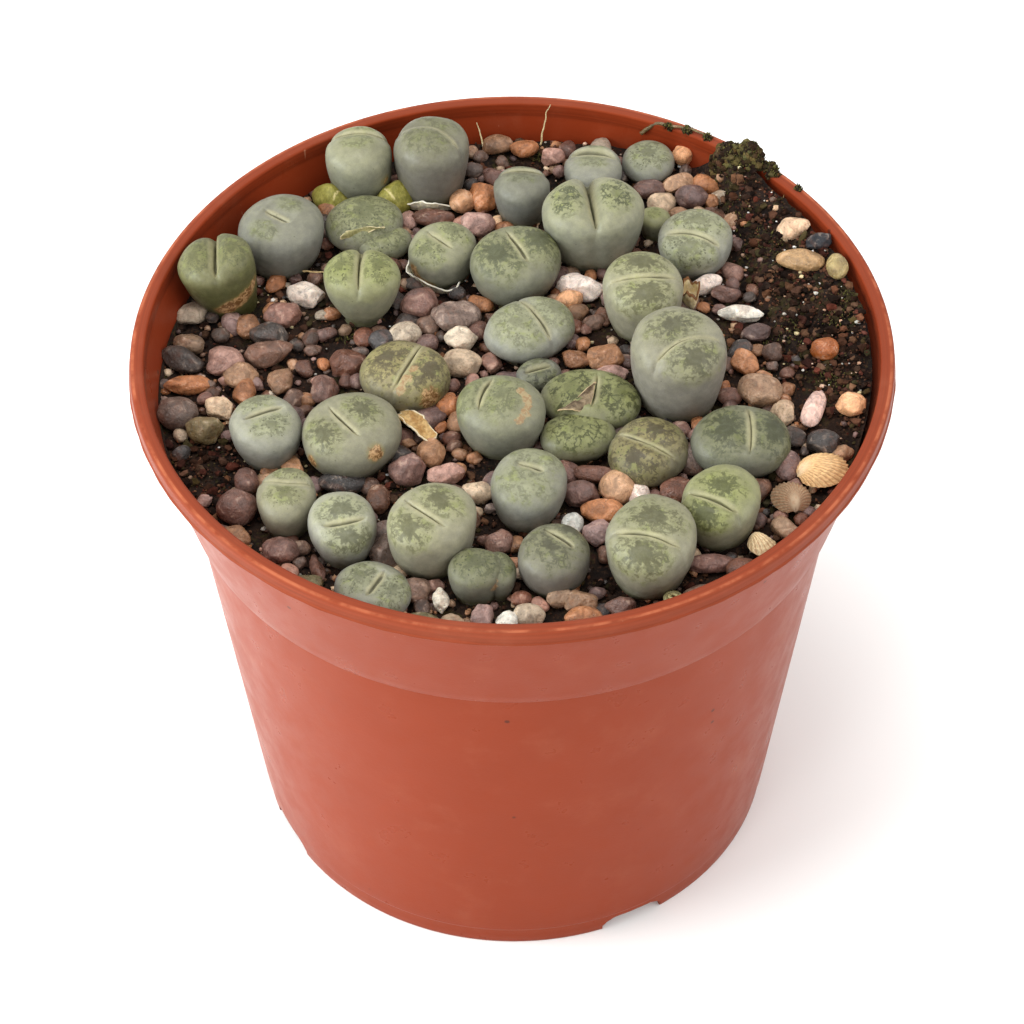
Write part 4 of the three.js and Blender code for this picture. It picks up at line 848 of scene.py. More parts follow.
def lathe(profile, sectors):
    """A closed turned body; the outline starts and ends on the axis."""
    rings = [ring(all_round(sectors), r, z) for r, z in profile[1:-1]]
    return capped(np.concatenate(rings), len(rings), sectors,
                  [0, 0, profile[0][1]], [0, 0, profile[-1][1]])


def pot_cutter():
    """The four arches through the foot ring and the four holes in the floor, as one tool."""
    shape = bmesh.new()
    half = ARCH_WIDTH / 2
    right = [(half, -1), (half, 0.4 * ARCH_HEIGHT), (0.85 * half, 0.75 * ARCH_HEIGHT),
             (0.6 * half, ARCH_HEIGHT)]
    outline = [(-half, -1), *right, *((-y, z) for y, z in right[:0:-1])]
    for i in range(ARCH_COUNT):
        angle = FIRST_ARCH_ANGLE + 360 / ARCH_COUNT * i
        turn = Matrix.Rotation(math.radians(angle), 4, "Z")
        inner, outer = ([shape.verts.new(turn @ Vector((x, y, z)) * MM) for y, z in outline]
                        for x in (FOOT_RADIUS - 5, FOOT_RADIUS + 5))
        shape.faces.new(inner[::-1])
        shape.faces.new(outer)
        for a in range(len(outline)):
            b = (a + 1) % len(outline)
            shape.faces.new([inner[a], inner[b], outer[b], outer[a]])
        middle = turn @ Vector((DRAIN_CIRCLE, 0, FLOOR_LIFT + FLOOR_THICKNESS / 2)) * MM
        radius, depth = DRAIN_RADIUS * MM, 4 * FLOOR_THICKNESS * MM
        bmesh.ops.create_cone(shape, cap_ends=True, segments=48, radius1=radius, radius2=radius,
                              depth=depth, matrix=Matrix.Translation(middle))
    bmesh.ops.recalc_face_normals(shape, faces=shape.faces)
    mesh = bpy.data.meshes.new("pot_cutter")
    shape.to_mesh(mesh)
    shape.free()
    return new_object("pot_cutter", mesh)


def apply_modifiers(piece):
    """The piece's mesh as its modifiers leave it, with the modifiers removed."""
    graph = bpy.context.evaluated_depsgraph_get()
    mesh = bpy.data.meshes.new_from_object(piece.evaluated_get(graph))
    piece.modifiers.clear()
    old = piece.data
    piece.data = mesh
    bpy.data.meshes.remove(old)


def pot_material():
    s = Shader("pot_plastic", 0.34, 0.08)
    s.fill(s.surface, {"Specular Tint": (255, 200, 156), "Sheen Weight": 0.02,
                       "Sheen Tint": (255, 226, 206)})
    colour = s.mix(s.noise(14, 4, 0.55, 0.3), (125, 47, 22), (133, 51, 25))
    height = s.parts(s.place)[2]
    lip = s.band(height, POT_HEIGHT - LIP_HEIGHT - 0.6, POT_HEIGHT - LIP_HEIGHT + 0.4)
    out = s.vector("LENGTH", s.vector("MULTIPLY", s.place, (1, 1, 0)))
    # Fine turned lines on the lip, one dark and one bright, are painted shade and a painted highlight
    # of fine ridges; the whole lip is painted darker as shade, and the inside gets painted shade.
    ridge_light_and_shade = s.noise(0.5, 2, 0.6, 0, s.joined(out, s.noise(12, 1), height))
    ridge_light_and_shade = s.times(lip, s.band(ridge_light_and_shade, 0.3, 0.7, -0.14, 0.14))
    colour = s.scaled(colour, s.plus(s.band(lip, 0, 1, 1, 0.84), ridge_light_and_shade))
    # Painted reflection: a pale, whitish tint mixed over the top of the lip.
    lip_reflection_mask = s.times(lip, s.band(out, RIM_RADIUS - LIP_WIDTH, RIM_RADIUS - LIP_WIDTH + 0.4))
    colour = s.mix(s.times(lip_reflection_mask, 0.06), colour, (214, 150, 128))
    # Painted highlight: a paler line along the mould flash at the lip's outer edge, broken up by noise.
    nicks = s.band(s.noise(3.5, 4, 0.6), 0.35, 0.65)
    off_flash = s.maths("ABSOLUTE", s.minus(out, RIM_RADIUS - 0.55))
    flash = s.times(s.band(off_flash, 0.3, 0.1, 0, 0.4), s.times(nicks, lip))
    colour = s.mix(flash, colour, (206, 124, 88))
    # Painted shade: the inner wall is made slightly darker.
    colour = s.scaled(colour, s.band(s.mark("inside"), 0.2, 0.8, 1, 0.98))
    # Dust haze, thin pale scratches, and small dark moulding specks.
    haze = s.band(s.noise(9, 5, 0.65), 0.5, 0.8, 0, 0.05)
    colour = s.mix(haze, colour, (206, 150, 120))
    stretched = s.vector("MULTIPLY", s.place, (0.9, 0.9, 0.09))
    scratch = s.band(s.noise(0.5, 2, 0.4, 0, stretched), 0.76, 0.8, 0, 0.3)
    scratch = s.times(scratch, s.band(s.noise(9, 2), 0.54, 0.62))
    colour = s.mix(scratch, colour, (214, 160, 128))
    dark = s.band(s.cells(7.5), 0.062, 0.035, 0, 0.8)
    dark = s.times(dark, s.band(s.noise(11, 1), 0.5, 0.54))
    colour = s.mix(dark, colour, (64, 30, 22))
    relief = s.plus(s.noise(0.35, 2, 0.5), s.times(s.noise(2.2, 3, 0.6), 0.7))
    s.bump(relief, 0.012)
    return s.finish(colour, s.band(s.noise(5, 4, 0.6), 0.3, 0.7, 0.27, 0.38))


def make_pot():
    profile = divided(pot_profile(), 1.6)
    points, faces = lathe(profile, POT_SECTORS)
    # The thin flash under the lip is uneven, and the wall isn't quite true.
    radius = np.hypot(points[:, 0], points[:, 1])
    on_flash = bell(points[:, 2] - (POT_HEIGHT - LIP_HEIGHT + 0.1), 0.25) * (radius > RIM_RADIUS - 0.3)
    outward = 0.12 * lattice_noise(points, 2.1, 3) * on_flash + 0.08 * lattice_noise(points, 26, 4)
    share = np.where(radius > 30, 1 + outward / np.maximum(radius, 1), 1)
    points[:, 0] *= share
    points[:, 1] *= share
    z = points[:, 2]
    walls = np.array([inner_radius(h) for h in z])
    # Points of the inner wall, which the material paints a little darker as shade.
    inside = (radius < walls + 0.25) & (z > FLOOR_LIFT + 1)
    pot = make_mesh("pot_wall", points, faces, pot_material(), {"inside": inside.astype(float)})
    tidy(pot)
    cutter = pot_cutter()
    cut = pot.modifiers.new("cut", "BOOLEAN")
    cut.operation = "DIFFERENCE"
    cut.solver = "EXACT"
    cut.object = cutter
    apply_modifiers(pot)
    bpy.data.objects.remove(cutter)
    pot.data.set_sharp_from_angle(angle=math.radians(50))
    keep(pot, "pot_plastic", "pot")

# ---- soil

def soil_top(x, y):
    towards = x * math.cos(MOUND_ANGLE) + y * math.sin(MOUND_ANGLE)
    hump = HUMP[2] * bell(np.hypot(x - HUMP[0], y - HUMP[1]), HUMP[3])
    lumps = 0.35 * np.sin(0.9 * x + 0.5 * y) * np.sin(0.8 * y - 0.3 * x)
    return ground(x) + MOUND_HEIGHT * smooth(MOUND_START, MOUND_END, towards) + hump + lumps - 0.3


def bareness(x, y):
    """1 on the bare soil, 0 in the gravel."""
    edge_x, edge_y = zip(*GRAVEL_EDGE)
    return smooth(-1.5, 1.5, np.asarray(x) - np.interp(y, edge_y, edge_x))


SOIL_RINGS = 170
SOIL_SECTORS = 460
GRIT_BELOW = 0.75


def surface_at(x, y):
    """Height of the soil or grit between the stones, without its crumbs."""
    bare = bareness(x, y)
    return (1 - bare) * (ground(x) - GRIT_BELOW) + bare * soil_top(x, y)


def soil_material():
    s = Shader("soil", 0.92, 0.25)
    cloud = s.noise(5, 4, 0.6)
    colour = s.mix(s.band(cloud, 0.35, 0.65), (20, 12, 9), (42, 27, 19))
    colour = s.mix(s.band(s.noise(0.7, 3, 0.7), 0.5, 0.7), colour, (70, 48, 32))
    green = s.times(s.band(s.noise(8, 2), 0.5, 0.62), s.band(s.noise(0.8, 2), 0.45, 0.6))
    colour = s.mix(s.times(green, 0.7), colour, (62, 56, 26))
    colour = s.mix(s.band(s.noise(2.2, 2), 0.6, 0.72, 0, 0.4), colour, (64, 30, 22))
    grains = s.times(s.band(s.cells(0.5), 0.2, 0.1), s.band(s.noise(1.6, 1), 0.58, 0.68))
    colour = s.mix(grains, colour, (172, 136, 108))
    s.bump(s.plus(s.noise(0.3, 4, 0.7), s.noise(0.9, 3, 0.6)), 0.3)
    return s.finish(colour)


def make_soil(material):
    """A closed body: the uneven top, the side against the wall and the base on the floor."""
    edge = inner_radius(GROUND_AT_CENTRE) - 0.12
    angles = all_round(SOIL_SECTORS)
    reach = edge * (np.arange(1, SOIL_RINGS + 1) / SOIL_RINGS)[:, None] ** 0.8
    x, y = (reach * np.cos(angles)).ravel(), (reach * np.sin(angles)).ravel()
    flat = np.column_stack([x, y, 0 * x])
    rough = (0.45 * lattice_noise(flat, 4.5, 1) + 0.4 * lattice_noise(flat, 1.9, 2)
             + 0.3 * lattice_noise(flat, 0.95, 3) + 0.16 * lattice_noise(flat, 0.5, 4))
    rings = [np.column_stack([x, y, surface_at(x, y) + rough * (0.6 + 0.5 * bareness(x, y))])]
    floor = FLOOR_LIFT + FLOOR_THICKNESS + 0.3
    bend = STEP_HEIGHT + WALL / 2
    for z in (78, 74, bend + WALL, bend, 40, 20, floor):
        rings.append(ring(angles, inner_radius(z) - 0.3, z))
    everything, faces = capped(np.concatenate(rings), SOIL_RINGS + 7, SOIL_SECTORS,
                               [0, 0, rings[0][0, 2]], [0, 0, floor])
    faces = faces[:, ::-1]
    faces = np.where((faces[:, :1] == faces[:, 1:2]), faces[:, [2, 3, 0, 1]], faces)
    add_piece("soil_body", everything, faces, material, {}, "potting_soil", "soil", clean=True)


# ---- stones

# How far from the axis stones, grains and crumbs lie, how many are tried, and how many
# points the crumbs have in all.
STONE_REACH = 48.6
GRAVEL_RADIUS = 49.2
GRAIN_REACH = 48.8
CRUMB_REACH = 49
SMALL_STONES = 340
GRIT_TRIES = 1500
WHITE_TRIES = 1300
CRUMB_POINTS = 115200


def stone_material(name, roughness, stain, glow=0.0, dark=False):
    """Stone whose colour comes from each body's tint, with clouds, stains and pits."""
    s = Shader(name, roughness, 0.08 if dark else 0.5)
    colour = s.scaled(s.mark("tint", "Color"), s.band(s.noise(1.5, 4, 0.66, 0.8), 0.3, 0.7, 0.58, 1.28))
    iron = s.band(s.noise(2.1, 4, 0.6, 0.8), 0.5, 0.68, 0, stain)
    colour = s.mix(iron, colour, s.mix(0.5, colour, (140, 80, 48)))
    pale = s.band(s.noise(1.5, 3, 0.55, 1.0), 0.56, 0.72, 0, 0.05 if dark else 0.5)
    colour = s.mix(pale, colour, s.mix(0.5, colour, (226, 200, 178)))
    pits = s.band(s.noise(0.38, 3, 0.7), 0.42, 0.3, 0, 0.7)
    colour = s.mix(pits, colour, s.mix(0.8, colour, (48, 30, 22)))
    s.bump(s.plus(s.noise(0.35, 4, 0.65), s.noise(1.1, 3)), 0.2)
    s.translucent(glow, (1.0, 0.7, 0.5), 0.9)
    return s.finish(colour, s.band(s.noise(0.9, 3), 0.35, 0.65, roughness - 0.16, roughness + 0.16))


def stone_points(draw, steps, length, width, height, smoothness=0.0):
    """A pebble: a ball with flats broken off it, stretched, with an uneven surface."""
    points, faces = BALLS[steps]
    shape = points.copy()
    for _ in range(11):
        tilt, spin = math.acos(2 * next(draw) - 1), FULL_TURN * next(draw)
        facing = np.array([math.sin(tilt) * math.cos(spin), math.sin(tilt) * math.sin(spin),
                           math.cos(tilt)])
        cut = 0.56 + 0.3 * next(draw) + 0.28 * smoothness
        over = np.maximum(shape @ facing - cut, 0)
        shape = shape - np.outer(over * (0.92 - 0.4 * smoothness), facing)
    rough = 1 - 0.7 * smoothness
    swell = 1 + 0.2 * rough * lattice_noise(shape, 0.8, next(draw) * 9)
    swell += 0.07 * rough * lattice_noise(shape, 0.3, next(draw) * 9)
    shape = shape * swell[:, None]
    reach = np.abs(shape).max(axis=0)
    return shape / reach * np.array([length, width, height]) / 2, faces


def tinted(colour, draw, spread=0.16):
    """The colour made a little lighter or darker, warmer or cooler."""
    light = 1 + spread * (2 * next(draw) - 1)
    warm = 1 + 0.06 * (2 * next(draw) - 1)
    return tuple(min(255, c * light * f) for c, f in zip(colour, (warm, 1, 1 / warm)))


def plant_feet():
    rows = [*PLANTS, *MORE.values()]
    return [(row[0], row[1], (row[2] + row[3]) / 2 * row[9].get("waist", WAIST)) for row in rows]


def free_spots(seed, count, smallest, largest, taken, squeeze):
    """Seeded places for more stones: (x, y, size), clear of plants and of each other."""
    draw = seeded(seed)
    found = []
    for _ in range(60 * count):
        if len(found) == count:
            break
        x, y, out = somewhere(draw, STONE_REACH)
        size = smallest + (largest - smallest) * next(draw) ** 2
        if out + size / 2 > GRAVEL_RADIUS or not in_gravel(x, y, next(draw)):
            continue
        others = taken + [(a, b, squeeze * other) for a, b, other in found]
        if all(math.hypot(x - a, y - b) > r + squeeze * size for a, b, r in others):
            found.append((x, y, size))
    return found


def in_gravel(x, y, chance):
    px, py, radius = BARE_PATCH
    bare = bareness(x, y) > 0.35 + 0.6 * chance ** 3
    return not bare and math.hypot(x - px, y - py) > radius * (0.7 + 0.6 * chance)


def make_gravel(material):
    seen = [(colour, *row) for colour, rows in STONES.items() for row in rows]
    draw = seeded(SEEDS["gravel"])
    heap = Heap()
    for colour, x, y, length, width, turn in seen:
        height = 0.8 * width
        points, faces = stone_points(draw, 4, length * 1.08, width * 1.08, height * 1.15,
                                     0.1 + 0.75 * next(draw))
        points = turned(points, turn + 20 * (next(draw) - 0.5))
        heap.add(points + [x, y, ground(x) + 0.26 * height], faces, tinted(STONE_COLOURS[colour], draw))
    heap.keep("gravel_stones", material, "gravel", "gravel")

    taken = [(x, y, 0.36 * max(length, width)) for _, x, y, length, width, _ in seen]
    taken += [(x, y, 0.94 * r) for x, y, r in plant_feet()]
    taken += [(row[0], row[1], 0.36 * row[2]) for row in (*LOOSE.values(), *SHELLS.values())]
    colours = [STONE_COLOURS[name] for name in
               ("mauve", "brown", "rust", "taupe", "mauve", "orange", "tan", "pink", "slate", "cream")]
    small = Heap()
    for x, y, size in free_spots(SEEDS["small"], SMALL_STONES, 1.8, 4.4, taken, 0.33):
        points, faces = stone_points(draw, 3, size * (1.1 + 0.3 * next(draw)), size, size * 0.85,
                                     0.1 + 0.6 * next(draw))
        points = turned(points, 180 * next(draw))
        colour = pick(draw, colours)
        small.add(points + [x, y, ground(x) + 0.1 * size - 0.2], faces, tinted(colour, draw))
    small.keep("gravel_small", material, "gravel")
    make_grit(draw, colours, material)


def make_grit(draw, colours, material):
    """Grit of 0.6 to 1.5 mm between the stones, with fewer grains on the bare side."""
    heap = Heap()
    for _ in range(GRIT_TRIES):
        x, y, _ = somewhere(draw, GRAIN_REACH)
        size = 0.6 + 0.9 * next(draw) ** 2
        if not in_gravel(x, y, 1.0) and next(draw) > 0.15:
            continue
        points, faces = stone_points(draw, 1, size * 1.2, size, size)
        colour = pick(draw, colours)
        lift = surface_at(x, y) + 0.15 + 0.3 * next(draw)
        heap.add(turned(points, 180 * next(draw)) + [x, y, lift], faces, tinted(colour, draw, 0.25))
    heap.keep("grit", material, "gravel")


def make_crumbs(material):
    """Crumbs of dark soil: thick on the bare side and in the left-hand patch, few elsewhere."""
    draw = seeded(SEEDS["crumbs"])
    heap = Heap()
    tints = ((36, 24, 18), (58, 38, 28), (25, 16, 12), (96, 68, 50), (72, 39, 31), (54, 47, 28),
             (82, 54, 40))
    while heap.count < CRUMB_POINTS:
        x, y, _ = somewhere(draw, CRUMB_REACH)
        patch = math.hypot(x - BARE_PATCH[0], y - BARE_PATCH[1]) < BARE_PATCH[2] + 1
        if next(draw) > max(float(bareness(x, y)), 0.9 * patch, 0.2):
            continue
        size = 0.28 + 1.2 * next(draw) ** 7
        points, faces = stone_points(draw, 2 if size > 1.3 else 1, size * 1.3, size, size * 0.9)
        points = points * (1 + 0.35 * lattice_noise(points, 0.4 * size, next(draw) * 9))[:, None]
        lift = surface_at(x, y) + 0.1 * size + 0.5 * next(draw)
        heap.add(turned(points, 180 * next(draw)) + [x, y, lift], faces,
                 tinted(pick(draw, tints), draw, 0.3))
    heap.keep("soil_crumbs", material, "potting_soil", soft=False)


def make_white_grains(material):
    """White and salmon grains of sand and perlite, scattered over the dark soil."""
    draw = seeded(SEEDS["white"])
    heap = Heap()
    tints = ((236, 230, 222), (222, 182, 156), (206, 160, 130), (190, 186, 176), (214, 196, 150))
    for _ in range(WHITE_TRIES):
        x, y, _ = somewhere(draw, GRAIN_REACH)
        size = 0.25 + 0.6 * next(draw) ** 5
        if next(draw) > 0.35 + 0.65 * float(bareness(x, y)):
            continue
        points, faces = stone_points(draw, 1, size * 1.3, size, size)
        lift = surface_at(x, y) + 0.35 + 0.1 * size
        heap.add(points + [x, y, lift], faces, pick(draw, tints))
    heap.keep("white_grains", material, "white_stone")


def make_loose_stones():
    for number, (name, row) in enumerate(LOOSE.items()):
        x, y, length, width, height, turn, colour, slot = row
        draw = seeded(SEEDS["loose"] + 7 * number)
        for _ in range(3):
            next(draw)
        pebble = name.startswith("pebble")
        points, faces = stone_points(draw, 5, length, width, height, 0.75 if pebble else 0.45)
        if name == "charcoal":
            points = points * (1 + 0.16 * lattice_noise(points, 0.7, 5))[:, None]
        lift = 0.6 + max(float(soil_top(x, y) - ground(x)), 0)
        heap = Heap()
        heap.add(turned(points, turn) + [x, y, ground(x) + lift], faces, colour)
        heap.keep(f"{name}_stone", LOOSE_MATERIALS[slot], slot, name)


# ---- shells

SHELL_ROWS = 46


def shell_material():
    s = Shader("shell", 0.42, 0.5)
    place = s.mark("fan", "Vector")
    out, rib = s.parts(place)[:2]
    rings = s.noise(0.09, 1, 0.5, 0, s.vector("MULTIPLY", place, (1, 0.02, 1)))
    colour = s.scaled(s.mark("tint", "Color"), s.band(rings, 0.35, 0.65, 0.78, 1.14))
    colour = s.mix(s.band(rib, 0.45, 0.1, 0, 0.45), colour, (150, 92, 58))
    colour = s.mix(s.band(out, 0.35, 0.05, 0, 0.5), colour, (238, 220, 190))
    colour = s.mix(s.band(s.noise(0.7, 3), 0.55, 0.7, 0, 0.3), colour, (168, 112, 76))
    s.bump(s.noise(0.2, 3), 0.05)
    return s.finish(colour)


def make_shells():
    material = shell_material()
    outs = SHELL_ROWS
    for name, (x, y, length, width, height, turn, ribs, colour) in SHELLS.items():
        sectors = ribs * 10
        out, index = np.meshgrid(np.linspace(0.02, 1, outs), np.arange(sectors + 1), indexing="ij")
        out, index = out.ravel(), index.ravel()
        angle = math.radians(158) * (2 * index / sectors - 1)
        rib = 0.5 - 0.5 * np.cos(FULL_TURN * index * ribs / sectors)
        vault = np.sin(math.pi * np.minimum(out, 0.985) ** 0.6) ** 0.8
        ridge = 0.16 * rib * np.sqrt(out) + 0.03 * np.sin(40 * out)
        reach = out * (1 + 0.02 * rib * (out > 0.9))
        px = -length / 2 + reach * length / 2 * (1 + np.cos(angle))
        py = reach * width / 2 * np.sin(angle)
        pz = height * vault * np.cos(angle / 2) + ridge
        points = np.column_stack([px, py, pz])
        faces = [grid_faces(outs, sectors + 1)]
        # The underside: one point below, joined to the margin, both side edges and the hinge.
        rim = np.concatenate([np.arange(outs) * (sectors + 1),
                              (outs - 1) * (sectors + 1) + np.arange(1, sectors + 1),
                              np.arange(outs - 2, -1, -1) * (sectors + 1) + sectors,
                              np.arange(sectors - 1, 0, -1)])
        under = len(points)
        points = np.concatenate([points, [[0, 0, -0.5]]])
        faces.append(fan(rim, under))
        points = turned(points, turn) + [x, y, ground(x) + 0.7]
        marks = {"tint": np.tile(linear(colour), (len(points), 1)),
                 "fan": np.concatenate([np.column_stack([out, rib, angle]), [[1, 0, 0]]])}
        add_piece(f"{name}_valve", points, np.concatenate(faces), material, marks, "shell", name,
                  clean=True)


# ---- old and dry leaves

def leaf_material(name, first, second, edge, roughness):
    """Leaf tissue between two colours, with a pale or brown edge where 'edge' is 1."""
    s = Shader(name, roughness, 0.3)
    colour = s.mix(s.band(s.noise(1.2, 3, 0.6), 0.3, 0.7), first, second)
    fibres = s.noise(0.35, 3, 0.6, 0, s.vector("MULTIPLY", s.place, (1, 1, 0.25)))
    colour = s.scaled(colour, s.band(fibres, 0.25, 0.75, 0.78, 1.18))
    ragged = s.plus(s.mark("edge"), s.times(s.noise(0.4, 3), 0.4))
    colour = s.mix(s.band(ragged, 0.75, 1.1), colour, edge)
    s.bump(s.plus(fibres, s.noise(0.5, 3)), 0.1)
    s.translucent(0.1, (1.0, 1.0, 0.4), 0.5)
    return s.finish(colour)


def add_sheet(name, surface, rows, columns, thickness, material, seed, ragged, *nodes):
    """A thin sheet of dry skin: surface(u, v) gives its middle, u and v from -1 to 1."""
    grid = np.meshgrid(np.linspace(-1, 1, rows), np.linspace(-1, 1, columns), indexing="ij")
    v, u = (part.ravel() for part in grid)
    flat = np.column_stack([3 * u, 3 * v, 0 * u])
    pull = 1 - ragged * (0.5 + 0.5 * lattice_noise(flat, 0.7, seed)) * np.maximum(np.abs(v) - 0.3, 0)
    middle = surface(u * (1 - 0.3 * ragged * np.abs(lattice_noise(flat, 0.9, seed + 1))), v * pull)
    faces = grid_faces(rows, columns)
    middle = roughened(middle, faces, [(0.16, 1.1), (0.08, 0.5)], seed)
    facing = normals_of(middle, faces) * thickness / 2
    points = np.concatenate([middle + facing, middle - facing])
    count, here = rows * columns, border(rows, columns)
    after = np.roll(here, -1)
    rim = np.column_stack([after, here, here + count, after + count])
    faces = np.concatenate([faces, faces[:, ::-1] + count, rim])
    edge = np.maximum(np.abs(u), np.abs(v)) ** 6
    marks = {"edge": np.concatenate([edge, edge])}
    add_piece(name, points, faces, material, marks, "dry_skin", *nodes)


def make_old_leaves():
    """The two spent lobes at the foot of one plant, plump and pointed."""
    material = leaf_material("old_leaf", (124, 120, 50), (160, 152, 78), (200, 186, 130), 0.5)
    points, faces = BALLS[4]
    shapes, all_faces, edges = [], [], []
    for x, y, turn, size in ((-25.8, 36.4, -40, 1), (-16.6, 36.0, 40, 1.15)):
        shape = size * points * np.array([3.6, 2.0, 2.2])
        shape[:, 2] += 0.7 * np.maximum(points[:, 2], 0) ** 3
        shape[:, 0] *= 1 - 0.2 * np.maximum(points[:, 2], 0)
        inner = points[:, 0] * (1 if turn < 0 else -1)
        # The pale edge high on each leaf's inner rim is a dry margin, partly a painted highlight.
        edge = bell(inner - 0.4, 0.1) * smooth(0.2, 0.8, points[:, 2]) * (points[:, 1] < 0.35)
        shape = turned(shape, turn) + [x, y, ground(x) + 0.6]
        all_faces.append(faces + len(points) * len(shapes))
        shapes.append(roughened(shape, faces, [(0.12, 1.4)], 5))
        edges.append(edge)
    add_piece("old_leaf_pair", np.concatenate(shapes), np.concatenate(all_faces), material,
              {"edge": np.concatenate(edges)}, "old_leaf", "old_leaves")


def make_collars(material):
    """Torn papery skirts round the front of two plants' feet."""
    for name, number, height, facing, spread in (
            ("dry_collar_1", 4, 3.0, -95, 58), ("dry_collar_2", 7, 2.5, -125, 66)):
        x, y, across, along = PLANTS[number - 1][:4]
        foot = (across + along) / 2 * WAIST

        def skirt(u, v, x=x, y=y, foot=foot, height=height, facing=facing, spread=spread):
            angle = np.radians(facing + spread * u)
            frill = 0.25 * np.sin(9 * u + 1)
            out = foot + 0.45 + 0.35 * (v + 1) + frill * (v + 1) / 2
            lift = height * (0.5 + 0.5 * v) * (0.75 + 0.25 * np.cos(5 * u)) - 0.4
            return ring(angle, out, ground(x) + lift) + [x, y, 0]

        add_sheet(f"{name}_paper", skirt, 22, 90, 0.22, material, number, 0.35, name)


def make_dry_leaf(material):
    x, y, turn, lift = -13.2, -10.9, -48, 2.6

    def scrap(u, v):
        along, across = 3.7 * u, 1.5 * v * (1 - 0.35 * u * u)
        curl = 0.42 * across ** 2 - 0.05 * along ** 2 + 0.15 * np.sin(2.2 * along)
        flat = turned(np.column_stack([along, across, curl]), turn)
        return flat + [x, y, ground(x) + lift - 0.3]

    add_sheet("dry_leaf_scrap", scrap, 30, 50, 0.25, material, 11, 0.6, "dry_leaf")


CUP_SECTORS = 72


def make_dry_cup(material):
    """An empty, torn cup of old leaf, open at the top."""
    x, y, radius, height = 25.0, 12.9, 1.55, 3.4
    angles = all_round(CUP_SECTORS)
    outline = ((0.65, 0), (0.85, 0.35), (1, 0.7), (1.06, 1), (0.86, 1.02), (0.78, 0.7), (0.6, 0.35))
    torn = 1 + 0.16 * np.sin(3 * angles + 1) + 0.07 * np.sin(8 * angles)
    rings = []
    for reach, level in outline:
        wave = 1 + (torn - 1) * level
        r = radius * reach * (1 + 0.05 * np.sin(4 * angles))
        rings.append(np.column_stack([x + 0.8 * r * np.cos(angles), y + 1.2 * r * np.sin(angles),
                                      ground(x) - 0.4 + height * level * wave]))
    points, faces = capped(np.concatenate(rings), len(outline), CUP_SECTORS,
                           [x, y, ground(x) - 0.4], [x, y, ground(x) + 0.5])
    edge = np.zeros(len(points))
    edge[3 * CUP_SECTORS:5 * CUP_SECTORS] = 1
    add_piece("dry_cup_skin", points, faces, material, {"edge": edge}, "dry_skin", "dry_cup",
              clean=True)


# Scraps of split sheath against the plants: a tip, both ends of the far edge, and colours.
FLAPS = {
    "torn_sheath": ((11.3, -7.2, 85.3), (5.8, -12.0, 84.3), (10.9, -11.3, 84.0),
                    ((76, 60, 42), (140, 122, 96), (186, 164, 128))),
    "split_skin": ((-17.9, 26.5, 83.0), (-24.6, 25.0, 81.6), (-23.4, 26.0, 83.2),
                   ((128, 124, 78), (164, 156, 112), (196, 182, 142))),
}


def make_flaps():
    for number, (name, (*corners, colours)) in enumerate(FLAPS.items()):
        tip, left, right = (np.array(corner) for corner in corners)
        material = leaf_material(f"{name}_skin", *colours, 0.55)

        def flap(u, v, tip=tip, left=left, right=right):
            down, side = (u[:, None] + 1) / 2, (v[:, None] + 1) / 2
            place = tip + down * (left + side * (right - left) - tip)
            place[:, 2] += 0.35 * np.sin(2.4 * v + 3 * u) * (0.3 + 0.7 * down[:, 0])
            return place

        add_sheet(name, flap, 26, 44, 0.16, material, 21 + number, 0.35)


# ---- moss and roots

# Cushions of moss: x, y, how far they spread, and how many leaves are tried.
MOSS = (
    (34.6, 38.4, 2.9, 420), (31.2, 38.6, 2.4, 200), (37.6, 35.6, 1.5, 110), (41.0, 31.6, 0.6, 60),
    (31.0, 28.0, 3.4, 150), (35.5, 22.5, 3.0, 130), (45.2, 6.6, 2.6, 130), (43.4, -4.6, 2.4, 110),
    (37.6, 5.0, 3.0, 120), (29.5, 33.5, 2.6, 120), (-30.4, 36.4, 1.2, 110), (-22.4, 9.6, 1.8, 80),
    (-15.0, -18.6, 1.2, 90), (4.0, 45.6, 1.3, 80), (-14.4, -17.4, 1.0, 60), (10.0, 42.4, 1.0, 50),
    (34.2, -1.6, 1.6, 60), (46.8, 10.6, 1.2, 60), (22.8, 45.0, 0.7, 60), (25.6, 44.2, 0.8, 70),
    (28.4, 42.6, 0.7, 50),
)


MOSS_REACH = 52.0
NEAR_THE_RIM = 47.0


def moss_base(x, y, spread, px, py):
    """Height at (px, py) in a cushion of moss that swells up where it climbs over the rim."""
    bottom = max(float(surface_at(px, py)), POT_HEIGHT if math.hypot(px, py) > RIM_RADIUS - 2.4 else 0)
    away = math.hypot(px - x, py - y)
    high = 0.9 * spread if math.hypot(x, y) > NEAR_THE_RIM else 0.3
    return bottom + high * math.exp(-(away / (0.8 * spread)) ** 2)


